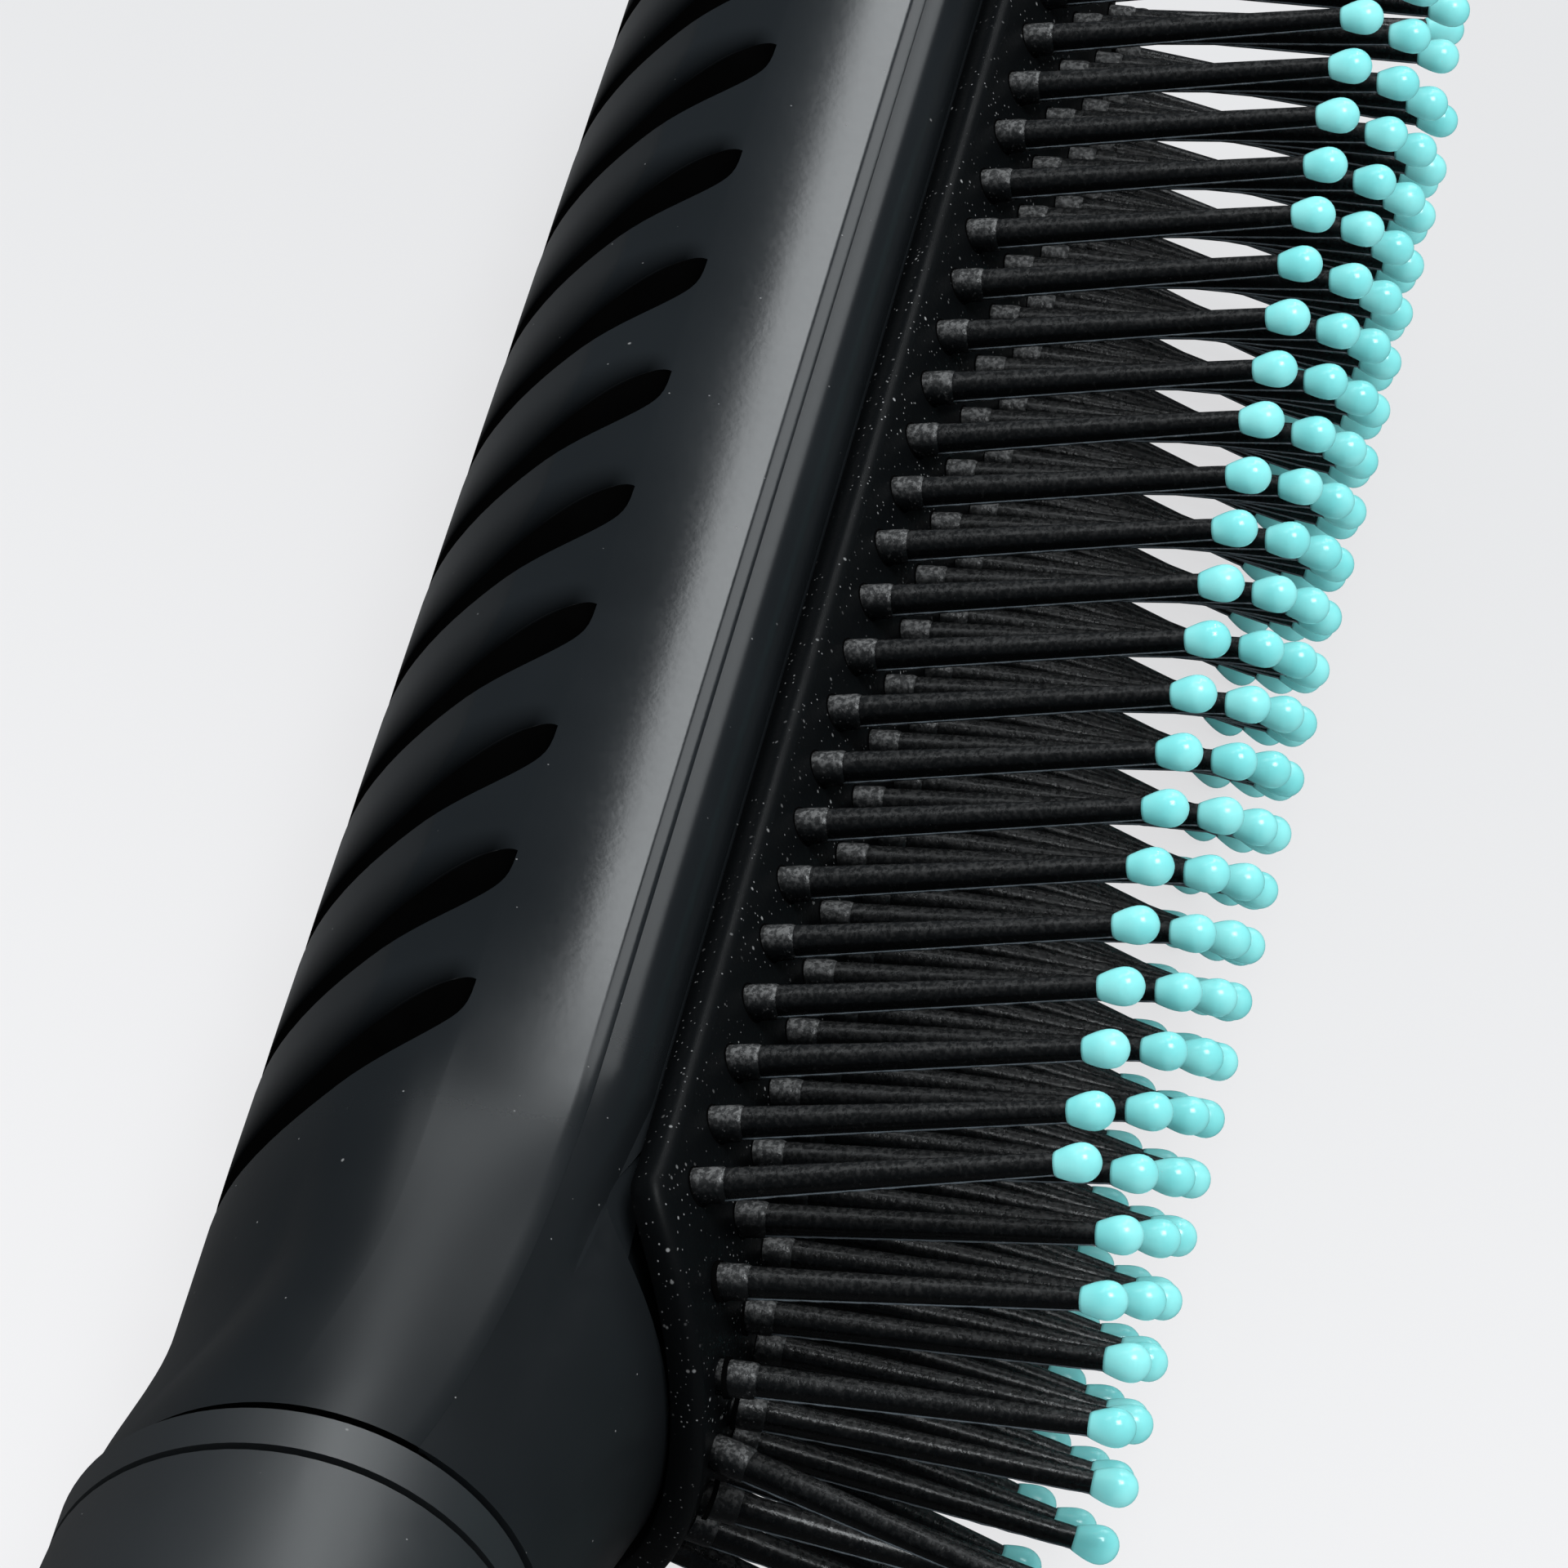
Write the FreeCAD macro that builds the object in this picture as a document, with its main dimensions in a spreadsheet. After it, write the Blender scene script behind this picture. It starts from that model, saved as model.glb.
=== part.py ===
import FreeCAD, Part
import math
import os

import Sketcher

from FreeCAD import Placement, Rotation, Vector

# A half-round vented styling brush, in millimetres.
# Brush frame: x runs along the handle axis towards the head, z towards the pin tips, y across the head.
# x = 0 is the handle end of the neck collar. The finished brush is laid on its side, as it comes to rest.

SIZES = [
    # pins
    ("pin_pitch", 4.0, "distance between pins of one row"),
    ("row_spacing", 3.63, "distance between rows, along the plate"),
    ("fan_step", 6.04, "degrees between the pins of neighbouring rows"),
    ("pin_reach", 16.4, "plate surface to the centre of the ball end"),
    ("pin_root_radius", 0.73, "pin at the top of its root collar"),
    ("pin_tip_radius", 0.50, "pin just under its ball end"),
    ("pin_collar_radius", 0.80, "short collar where the pin leaves the plate"),
    ("pin_collar_height", 1.15, "height of that collar above the plate"),
    ("pin_ball_radius", 0.60, "moulded ball end"),
    ("coat_radius", 0.86, "dipped coating over the ball end"),
    ("coat_tail", 1.15, "length of the coating below the ball centre"),
    ("coat_play", 0.03, "clearance between ball and coating"),
    ("first_pin_x", 20.5, "first pin of the two outer rows"),
    ("outer_row_pins", 25, "pins in each outer row"),
    ("end_pin_inset", 1.9, "end pins of the middle row, from the end of the plate"),
    ("end_pin_lean", 17.0, "degrees that the end pins lean outwards"),
    # pin strips under the plate
    ("strip_width", 2.2, "strip that carries one row of pins"),
    ("strip_height", 0.6, "height of that strip"),
    ("strip_end", 1.2, "strip beyond its last pin"),
    # pin plate
    ("plate_radius", 18.4, "curve of the plate across the head"),
    ("plate_crest", 15.67, "height of the plate's crest over the handle axis"),
    ("plate_thickness", 1.5, "plate, measured square to its surface"),
    ("plate_half_width", 12.3, "half of the plate's width"),
    ("plate_end_x", 13.68, "handle end of the plate"),
    ("plate_end_depth", 4.77, "length of the plate's rounded end"),
    ("plate_bend_radius", 24.5, "the plate's ends bend down on this radius"),
    ("plate_bend_inset", 6.4, "where that bend begins, from the end of the plate"),
    ("plate_hole_play", 0.06, "clearance of the holes that the pins pass through"),
    # head
    ("wall", 1.6, "wall of the back shell"),
    ("head_half_width", 13.3, "half of the barrel's width"),
    ("head_widest_z", 1.5, "height of the widest place"),
    ("head_back_z", -8.1, "the barrel's back"),
    ("side_radius", 7.0, "curve from the side into the back"),
    ("seam_y", 13.0, "half width at the seam between back shell and front frame"),
    ("seam_z", 7.4, "height of that seam along the head"),
    ("seam_neck_z", 4.3, "height of the seam where it reaches the neck"),
    ("frame_edge_y", 11.75, "half width of the front frame under the plate"),
    ("deck_depth", 1.3, "pocket for the pin strips, under the plate"),
    ("deck_thickness", 1.3, "floor of that pocket"),
    ("pocket_side_inset", 1.64, "the pocket, in from the plate's long edges"),
    ("pocket_end_inset", 1.0, "the pocket, in from the plate's rounded ends"),
    ("frame_rise", 0.9, "the frame's form over the plate's underside, before it is cut back to it"),
    ("seam_gap", 0.06, "gap along the seam"),
    ("head_straight_x", 24.0, "the head has its full section from here"),
    ("head_back_x", 14.0, "the back reaches its full line here"),
    ("neck_back_step", 0.55, "the back of the head, under the collar where they meet"),
    ("cavity_x", 18.5, "the hollow of the head begins here"),
    ("cavity_past_nose", 6.0, "the hollow goes on this far into the rounded far end"),
    ("head_nose", 15.5, "length of the rounded far end"),
    ("nose_overhang", 4.6, "head beyond the far end of the plate"),
    ("nose_flat", 0.42, "size of the last section, as a share of the full one"),
    # louvres in the back shell
    ("louvre_pitch", 8.63, "distance between louvres"),
    ("first_louvre_x", 27.6, "end of the first louvre"),
    ("louvre_count", 11, "number of louvres"),
    ("louvre_width", 2.25, "opening at the middle of the back"),
    ("louvre_curve", 1.8, "how suddenly the opening turns towards its end"),
    ("louvre_fullness", 0.34, "how full the near side of that end is, less being fuller"),
    ("louvre_tip", 0.55, "rounding of the opening's end"),
    ("louvre_sweep", 7.5, "how far the opening sweeps along the head"),
    ("louvre_end_s", 10.35, "that end, measured across the slanted cut"),
    # neck and handle
    ("neck_radius", 10.2, "collar and handle where they meet"),
    ("neck_front_step", 0.25, "the front of the head, over the collar where they meet"),
    ("collar_width", 2.1, "collar between the two grooves"),
    ("groove_width", 0.4, "each groove"),
    ("groove_depth", 0.9, "depth of the grooves"),
    ("core_share", 0.58, "radius of the core rod that joins head and handle, as a share of the neck's"),
    ("core_play", 0.06, "clearance round the core rod"),
    ("core_in_head", 17.0, "core rod inside the head"),
    ("core_in_handle", 46.0, "core rod inside the handle"),
    ("handle_length", 108.0, "grip sleeve"),
    ("swell_x", 80.0, "thickest place of the grip, from the collar"),
    ("swell_radius", 13.1, "radius there"),
    ("grip_end_radius", 11.2, "radius at the end of the grip sleeve"),
    ("grip_wall", 2.4, "wall of the hollow part of the grip"),
    ("cap_dome", 4.5, "height of the end cap's dome"),
    ("cap_plug", 6.0, "length of the end cap's plug"),
    ("cap_play", 0.08, "clearance round that plug"),
]

ROWS = 7
MIDDLE_ROW = 4
CORE = "sizes.core_share * sizes.neck_radius"

doc = FreeCAD.newDocument("styling_brush")
sheet = doc.addObject("Spreadsheet::Sheet", "sizes")
for line, (alias, value, note) in enumerate(SIZES, start=1):
    sheet.set("A%d" % line, alias)
    sheet.set("B%d" % line, str(value))
    sheet.set("C%d" % line, note)
    sheet.setAlias("B%d" % line, alias)
doc.recompute()


def size(alias):
    return float(getattr(sheet, alias))


def blend(a, b, t):
    return a + (b - a) * t


def ease(t):
    t = min(1.0, max(0.0, t))
    return t * t * (3.0 - 2.0 * t)


# places that follow from the sizes
row_angle = math.degrees(size("row_spacing") / size("plate_radius"))
plate_centre_z = size("plate_crest") - size("plate_radius")
head_mid_x = size("first_pin_x") + size("pin_pitch") * (size("outer_row_pins") - 1) / 2.0
plate_far_x = 2.0 * head_mid_x - size("plate_end_x")
head_far_x = plate_far_x + size("nose_overhang")
nose_start_x = head_far_x - size("head_nose")
under_radius = size("plate_radius") - size("plate_thickness")
deck_radius = under_radius - size("deck_depth")
cavity_radius = deck_radius - size("deck_thickness")
neck_x = size("collar_width") + 2.0 * size("groove_width")
bend_start_x = size("plate_end_x") + size("plate_bend_inset")
room = 4.5 * size("head_half_width")


def row_start(row):
    """First pin of a row: neighbouring rows are half a pitch apart, so the field has rounded ends."""
    away = abs(row - MIDDLE_ROW)
    steps = ROWS - MIDDLE_ROW - max(away, 1)
    if away == 0:
        steps = steps - 1
    return size("first_pin_x") - steps * size("pin_pitch") / 2.0


def row_count(row):
    return int(round((2.0 * (head_mid_x - row_start(row))) / size("pin_pitch"))) + 1


def plate_point(row, x, height=0.0):
    """A point over the plate in line with a row, height above the plate's surface."""
    angle = math.radians((row - MIDDLE_ROW) * row_angle)
    radius = size("plate_radius") + height
    return Vector(x, -radius * math.sin(angle), plate_centre_z + radius * math.cos(angle))


# sketches and revolved pieces

def plane_of(body, role):
    return [f for f in body.Origin.OriginFeatures if f.Role == role][0]


def new_body(label):
    body = doc.addObject("PartDesign::Body", label)
    body.Label = label
    return body


def outline(body, name, points, role="XZ_Plane", arcs=None, offset=None):
    """A closed sketch through points whose two coordinates are expressions on the sheet.

    arcs gives, for the edge that starts at a point, the expression for the x of the arc's centre.
    """
    arcs = arcs or {}
    sketch = body.newObject("Sketcher::SketchObject", name)
    sketch.AttachmentSupport = [(plane_of(body, role), "")]
    sketch.MapMode = "FlatFace"
    if offset:
        sketch.AttachmentOffset = offset
    probe = doc.addObject("App::FeaturePython", "probe")
    values = []
    for pair in points:
        row = []
        for text in pair:
            probe.addProperty("App::PropertyFloat", "v")
            probe.setExpression("v", text)
            doc.recompute([probe])
            row.append(probe.v)
            probe.removeProperty("v")
        values.append(row)
    centres = {}
    for start, text in arcs.items():
        probe.addProperty("App::PropertyFloat", "v")
        probe.setExpression("v", text)
        doc.recompute([probe])
        centres[start] = probe.v
        probe.removeProperty("v")
    doc.removeObject(probe.Name)
    count = len(points)
    for i in range(count):
        a = Vector(values[i][0], values[i][1], 0)
        b = Vector(values[(i + 1) % count][0], values[(i + 1) % count][1], 0)
        if i in centres:
            cx = centres[i]
            cy = (b.x ** 2 + b.y ** 2 - a.x ** 2 - a.y ** 2 - 2 * cx * (b.x - a.x)) / (2 * (b.y - a.y))
            radius = math.hypot(a.x - cx, a.y - cy)
            t0 = math.atan2(a.y - cy, a.x - cx)
            t1 = math.atan2(b.y - cy, b.x - cx)
            if (t1 - t0) % (2 * math.pi) > math.pi:
                t0, t1 = t1, t0
            circle = Part.Circle(Vector(cx, cy, 0), Vector(0, 0, 1), radius)
            sketch.addGeometry(Part.ArcOfCircle(circle, t0, t1), False)
        else:
            sketch.addGeometry(Part.LineSegment(a, b), False)
    ends = []
    for i in range(count):
        a = Vector(values[i][0], values[i][1], 0)
        geo = sketch.Geometry[i]
        forward = geo.StartPoint.distanceToPoint(a) < geo.EndPoint.distanceToPoint(a)
        ends.append((1, 2) if forward else (2, 1))
    for i in range(count):
        j = (i + 1) % count
        sketch.addConstraint(Sketcher.Constraint("Coincident", i, ends[i][1], j, ends[j][0]))
    for i in range(count):
        for kind, k in (("DistanceX", 0), ("DistanceY", 1)):
            text = points[i][k]
            number = sketch.addConstraint(
                Sketcher.Constraint(kind, -1, 1, i, ends[i][0], values[i][k]))
            sketch.setExpression("Constraints[%d]" % number, text)
    for i, text in arcs.items():
        number = sketch.addConstraint(
            Sketcher.Constraint("DistanceX", -1, 1, i, 3, centres[i]))
        sketch.setExpression("Constraints[%d]" % number, text)
    return sketch


def revolve(body, sketch, name, axis):
    turn = body.newObject("PartDesign::Revolution", name)
    turn.Profile = sketch
    turn.ReferenceAxis = (sketch, [axis])
    turn.Angle = 360.0
    return turn


def make_collar():
    body = new_body("neck_collar")
    bore = CORE + " + sizes.core_play"
    hub = "sizes.neck_radius - sizes.groove_depth"
    far = "sizes.collar_width + sizes.groove_width"
    points = [
        ("0", bore),
        (far + " + sizes.groove_width", bore),
        (far + " + sizes.groove_width", hub),
        (far, hub),
        (far, "sizes.neck_radius"),
        ("sizes.groove_width", "sizes.neck_radius"),
        ("sizes.groove_width", hub),
        ("0", hub),
    ]
    revolve(body, outline(body, "collar_outline", points), "collar_turned", "H_Axis")
    return body


def make_core():
    body = new_body("handle_core")
    far = "sizes.collar_width + 2 * sizes.groove_width + sizes.core_in_head"
    chamfer = "0.1 * " + CORE
    points = [
        ("-sizes.core_in_handle", "0"),
        (far, "0"),
        (far, CORE + " - " + chamfer),
        (far + " - " + chamfer, CORE),
        ("-sizes.core_in_handle + " + chamfer, CORE),
        ("-sizes.core_in_handle", CORE + " - " + chamfer),
    ]
    revolve(body, outline(body, "core_outline", points), "core_turned", "H_Axis")
    return body


def make_grip():
    body = new_body("handle_grip")
    bore = CORE + " + sizes.core_play"
    seat = "sizes.core_in_handle + 1"
    points = [
        ("0", bore),
        ("0", "sizes.neck_radius"),
        ("-sizes.swell_x", "sizes.swell_radius"),
        ("-sizes.handle_length", "sizes.grip_end_radius"),
        ("-sizes.handle_length", "sizes.grip_end_radius - sizes.grip_wall"),
        ("-sizes.swell_x", "sizes.swell_radius - sizes.grip_wall"),
        ("-(%s) - 0.5 * sizes.neck_radius" % seat, "0.9 * sizes.neck_radius"),
        ("-(%s)" % seat, bore),
    ]
    arcs = {1: "-sizes.swell_x", 2: "-sizes.swell_x"}
    revolve(body, outline(body, "grip_outline", points, arcs=arcs), "grip_turned", "H_Axis")
    return body


def make_cap():
    body = new_body("handle_end_cap")
    plug = "sizes.grip_end_radius - sizes.grip_wall - sizes.cap_play"
    points = [
        ("-sizes.handle_length - sizes.cap_dome", "0"),
        ("-sizes.handle_length + sizes.cap_plug", "0"),
        ("-sizes.handle_length + sizes.cap_plug", plug),
        ("-sizes.handle_length", plug),
        ("-sizes.handle_length", "sizes.grip_end_radius"),
        ("-sizes.handle_length - 0.45 * sizes.cap_dome", "sizes.grip_end_radius - 0.2 * sizes.cap_dome"),
        ("-sizes.handle_length - 0.8 * sizes.cap_dome", "0.72 * sizes.grip_end_radius"),
    ]
    revolve(body, outline(body, "cap_outline", points), "cap_turned", "H_Axis")
    return body


# pins

def pin_outline(body, name, root, offset):
    """Half of a pin's outline, root to ball end, with v along the pin. root is the height of its foot."""
    top = "sizes.pin_reach"
    ball = "sizes.pin_ball_radius"
    points = [
        ("0", root),
        ("sizes.pin_collar_radius", root),
        ("sizes.pin_collar_radius", "sizes.pin_collar_height"),
        ("sizes.pin_root_radius", "sizes.pin_collar_height + 0.15"),
        ("sizes.pin_tip_radius", top + " - " + ball),
        ("0.9 * " + ball, top + " - 0.436 * " + ball),
        (ball, top),
        ("0.7071 * " + ball, top + " + 0.7071 * " + ball),
        ("0", top + " + " + ball),
    ]
    return outline(body, name, points, offset=offset)


def lean_offset(tilt, lean=0.0, x=0.0):
    """Turn of a pin's sketch: tilt about the strip, lean along it."""
    turn = Rotation(Vector(1, 0, 0), tilt) * Rotation(Vector(0, 0, 1), lean)
    return Placement(Vector(x, 0, 0), turn)


def make_row(row):
    """One strip with its pins, moulded in one. Its own frame stands square on the plate."""
    label = "pin_row_%d" % row
    body = new_body(label)
    count = row_count(row)
    start = row_start(row)
    reach = (count - 1) * size("pin_pitch")
    first = 0.0
    last = reach
    ends = []
    if row == MIDDLE_ROW:
        ends = [size("plate_end_x") + size("end_pin_inset") - start]
        ends.append(reach - ends[0])
        first, last = ends
    depth = "(sizes.plate_thickness + sizes.deck_depth)"
    tilt = (row - MIDDLE_ROW) * (size("fan_step") - row_angle)
    shift = "%s * %.6f" % (depth, math.tan(math.radians(tilt)))
    strip_top = "sizes.strip_height - " + depth
    points = [
        (shift + " - sizes.strip_width / 2", "-" + depth),
        (shift + " + sizes.strip_width / 2", "-" + depth),
        (shift + " + sizes.strip_width / 2", strip_top),
        (shift + " - sizes.strip_width / 2", strip_top),
    ]
    foot = 0.0
    if ends:
        foot = (size("plate_thickness") + size("deck_depth")) * math.tan(math.radians(size("end_pin_lean")))
    section = outline(body, label + "_strip_section", points, role="YZ_Plane")
    section.AttachmentOffset = Placement(Vector(0, 0, first + foot - size("strip_end")), Rotation())
    strip = body.newObject("PartDesign::Pad", label + "_strip")
    strip.Profile = section
    strip.setExpression("Length", "%.6f + 2 * sizes.strip_end" % (last - first - 2.0 * foot))
    root = "-(sizes.plate_thickness + sizes.deck_depth - 0.5 * sizes.strip_height)"
    pin = revolve(body, pin_outline(body, label + "_pin", root, lean_offset(tilt)), label + "_pin_turned", "V_Axis")
    pattern = body.newObject("PartDesign::LinearPattern", label + "_pins")
    pattern.Originals = [pin]
    pattern.Direction = (plane_of(body, "X_Axis"), [""])
    pattern.setExpression("Length", "%d * sizes.pin_pitch" % (count - 1))
    pattern.Occurrences = count
    body.Tip = pattern
    for number, x in enumerate(ends, start=1):
        lean = size("end_pin_lean") * (1 if number == 1 else -1)
        name = label + "_end_pin_%d" % number
        revolve(body, pin_outline(body, name, root, lean_offset(tilt, lean, x)), name + "_turned", "V_Axis")
    return body


def row_placement(row):
    angle = (row - MIDDLE_ROW) * row_angle
    return Placement(plate_point(row, row_start(row)), Rotation(Vector(1, 0, 0), angle))


def pin_frames(row):
    """Each pin of a row as a placement in the row's own frame, its foot on the plate, z along the pin."""
    tilt = (row - MIDDLE_ROW) * (size("fan_step") - row_angle)
    turn = Rotation(Vector(1, 0, 0), tilt)
    frames = []
    for i in range(row_count(row)):
        frames.append(Placement(Vector(i * size("pin_pitch"), 0, 0), turn))
    if row == MIDDLE_ROW:
        near = size("plate_end_x") + size("end_pin_inset") - row_start(row)
        far = (row_count(row) - 1) * size("pin_pitch") - near
        for x, lean in ((near, -size("end_pin_lean")), (far, size("end_pin_lean"))):
            frames.append(Placement(Vector(x, 0, 0), turn * Rotation(Vector(0, 1, 0), lean)))
    return frames


def coat_shape():
    """One dipped coating, a thin cup round a pin's ball end, standing on the pin's foot."""
    ball = size("pin_ball_radius")
    play = size("coat_play")
    stem = size("pin_tip_radius") + play
    outer = size("coat_radius")
    tail = size("coat_tail")
    profile = [
        (0.0, outer),
        (0.5 * outer, 0.866 * outer),
        (0.866 * outer, 0.5 * outer),
        (outer, 0.0),
        (0.93 * outer, -0.4 * outer),
        (stem + 0.08, -tail),
        (stem, -tail),
        (stem, -ball - play),
        (0.9 * ball + play, -0.436 * ball),
        (ball + play, 0.0),
        (0.7071 * (ball + play), 0.7071 * (ball + play)),
        (0.0, ball + play),
    ]
    points = [Vector(r, 0, v + size("pin_reach")) for r, v in profile]
    face = Part.Face(Part.makePolygon(points + points[:1]))
    return face.revolve(Vector(0, 0, 0), Vector(0, 0, 1), 360)


def make_coats(row):
    coat = coat_shape()
    copies = []
    for frame in pin_frames(row):
        copy = coat.copy()
        copy.Placement = frame
        copies.append(copy)
    return Part.makeCompound(copies)


# head

def arc_points(centre, radius, start, end, steps):
    points = []
    for i in range(steps):
        angle = math.radians(blend(start, end, i / (steps - 1.0)))
        points.append((centre[0] + radius * math.cos(angle), centre[1] + radius * math.sin(angle)))
    return points


def full_half(inset=0.0):
    """Half of the head's full section from the middle of the back to the seam, as points (y, z)."""
    side = size("side_radius")
    side_y = size("head_half_width") - side
    side_z = size("head_widest_z")
    drop = size("head_back_z") - side_z
    back = (side ** 2 - side_y ** 2 - drop ** 2) / (2.0 * (drop + side))
    back_centre = (0.0, size("head_back_z") + back)
    joint = math.degrees(math.atan2(side_z - back_centre[1], side_y))
    rise = size("seam_z") - side_z
    inward = size("head_half_width") - size("seam_y")
    upper = (inward ** 2 + rise ** 2) / (2.0 * inward)
    upper_centre = (size("head_half_width") - upper, side_z)
    top = math.degrees(math.asin((rise - inset * 0.35) / (upper - inset)))
    points = arc_points(back_centre, back - inset, -90.0, joint, 4)
    points += arc_points((side_y, side_z), side - inset, joint, 0.0, 5)[1:]
    points += arc_points(upper_centre, upper - inset, 0.0, top, 4)[1:]
    return points


def neck_half(count):
    """The matching points where the head meets the collar: a circle, a little flatter at the back."""
    top = math.degrees(math.asin(size("seam_neck_z") / size("neck_radius")))
    points = arc_points((0.0, 0.0), size("neck_radius"), -90.0, top, count)
    flat = 1.0 - size("neck_back_step") / size("neck_radius")
    return [(y, z * flat if z < 0 else z) for y, z in points]


def seam_height(x):
    if x >= size("head_straight_x"):
        return size("seam_z")
    share = (size("head_straight_x") - x) / (size("head_straight_x") - neck_x)
    return size("seam_z") - (size("seam_z") - size("seam_neck_z")) * share ** 2


def frame_top():
    """Full section's rounded cheek, shoulder and crown above the seam, as points (y, z).

    The cheek is an arc that leaves the side without a kink, passes the plate's lower edge and goes on a little.
    """
    seam = (size("seam_y"), size("seam_z"))
    edge_y = size("frame_edge_y")
    edge_z = plate_centre_z + math.sqrt(under_radius ** 2 - edge_y ** 2)
    rise = size("seam_z") - size("head_widest_z")
    inward = size("head_half_width") - size("seam_y")
    lean = 2.0 * math.atan2(inward, rise)
    step_y, step_z = edge_y - seam[0], edge_z - seam[1]
    radius = -(step_y ** 2 + step_z ** 2) / (2.0 * (step_y * math.cos(lean) + step_z * math.sin(lean)))
    centre = (seam[0] - radius * math.cos(lean), seam[1] - radius * math.sin(lean))
    end = math.atan2(edge_z - centre[1], edge_y - centre[0]) + 0.3
    middle, corner = [(centre[0] + radius * math.cos(t), centre[1] + radius * math.sin(t))
                      for t in ((lean + end) / 2.0, end)]
    top = under_radius + size("frame_rise")
    shoulder_y = 0.62 * corner[0]
    shoulder = (shoulder_y, plate_centre_z + math.sqrt(top ** 2 - shoulder_y ** 2))
    return middle, corner, shoulder, (0.0, plate_centre_z + top)


def head_wire(x, lower, cheek, corner, shoulder, crown):
    """Closed section at x: one smooth curve below the seam, two rounded cheeks, one smooth curve on top."""
    left = [Vector(x, -y, z) for y, z in reversed(lower[1:])]
    right = [Vector(x, y, z) for y, z in lower]
    below = Part.BSplineCurve()
    below.interpolate(left + right)
    top = Part.BSplineCurve()
    spots = [Vector(x, -corner[0], corner[1]), Vector(x, -shoulder[0], shoulder[1]), Vector(x, 0, crown[1]),
             Vector(x, shoulder[0], shoulder[1]), Vector(x, corner[0], corner[1])]
    top.interpolate(spots)
    edges = [
        below.toShape(),
        Part.Arc(right[-1], Vector(x, cheek[0], cheek[1]), spots[-1]).toShape(),
        top.toShape(),
        Part.Arc(spots[0], Vector(x, -cheek[0], cheek[1]), left[0]).toShape(),
    ]
    return Part.Wire(Part.__sortEdges__(edges))


def neck_wire(x):
    t = (x - neck_x) / (size("head_straight_x") - neck_x)
    wide = ease(t)
    back = ease((x - neck_x) / (size("head_back_x") - neck_x))
    full = full_half()
    neck = neck_half(len(full))
    lower = []
    for i, (a, b) in enumerate(zip(neck, full)):
        u = i / (len(full) - 1.0)
        seam = (seam_height(x) - size("seam_neck_z")) / (size("seam_z") - size("seam_neck_z"))
        lower.append((blend(a[0], b[0], wide), blend(a[1], b[1], blend(back, seam, u))))
    rise = t * (1.25 - 0.25 * t)
    radius = size("neck_radius")
    front = radius + size("neck_front_step")
    start = math.asin(size("seam_neck_z") / radius)
    places = []
    for angle, target in zip((start + 0.11, start + 0.25, 1.1, math.pi / 2.0), frame_top()):
        tall = blend(radius, front, (angle - start) / (math.pi / 2.0 - start))
        y = blend(radius * math.cos(angle), target[0], wide)
        places.append((y, blend(tall * math.sin(angle), target[1], rise)))
    return head_wire(x, lower, *places)


def nose_wire(x):
    last = (1.0 - size("nose_flat") ** 2.5) ** 0.4
    t = last * (x - nose_start_x) / size("head_nose")
    share = (1.0 - t ** 2.5) ** 0.4
    seam = size("seam_z")
    lower = [(y * share, seam - (seam - z) * share) for y, z in full_half()]
    return head_wire(x, lower, *[(y * share, z) for y, z in frame_top()])


def head_block():
    """Outer form of the whole head, before it is divided along the seam."""
    straight_x = size("head_straight_x")
    stations = [neck_x + (straight_x - neck_x) * i / 7.0 for i in range(8)]
    neck = Part.makeLoft([neck_wire(x) for x in stations], True, False)
    barrel = Part.Face(neck_wire(straight_x)).extrude(Vector(nose_start_x - straight_x, 0, 0))
    shares = (0.0, 0.2, 0.4, 0.58, 0.74, 0.87, 0.95, 1.0)
    stations = [nose_start_x + size("head_nose") * s for s in shares]
    nose = Part.makeLoft([nose_wire(x) for x in stations], True, False)
    return neck.fuse([barrel, nose]).removeSplitter()


def seam_prism(height, top):
    """Everything between the seam line raised by height and z = top."""
    xs = [neck_x + (size("head_straight_x") - neck_x) * i / 6.0 for i in range(7)]
    curve = Part.BSplineCurve()
    side = -room / 2.0
    curve.interpolate([Vector(x, side, seam_height(x) + height) for x in xs])
    end = Vector(head_far_x + 5, side, size("seam_z") + height)
    start = Vector(xs[0], side, seam_height(xs[0]) + height)
    corners = [end, Vector(end.x, side, top), Vector(start.x - 1, side, top),
               Vector(start.x - 1, side, start.z), start]
    edges = [curve.toShape(), Part.makeLine(Vector(xs[-1], side, end.z), end)]
    for a, b in zip(corners, corners[1:]):
        edges.append(Part.makeLine(a, b))
    return Part.Face(Part.Wire(edges)).extrude(Vector(0, room, 0))


def rounded_outline(end_x, half, depth):
    """Flat shape in plan: straight sides and elliptic ends, the same at both ends."""
    near = end_x + depth
    far = 2.0 * head_mid_x - near
    edges = []
    for x, tip in ((near, end_x), (far, 2.0 * head_mid_x - end_x)):
        ellipse = Part.Ellipse(Vector(x, half, 0), Vector(tip, 0, 0), Vector(x, 0, 0))
        edges.append(Part.ArcOfEllipse(ellipse, 0.0, math.pi).toShape())
    for y in (-half, half):
        edges.append(Part.makeLine(Vector(near, y, 0), Vector(far, y, 0)))
    return Part.Face(Part.Wire(Part.__sortEdges__(edges)))


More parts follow.
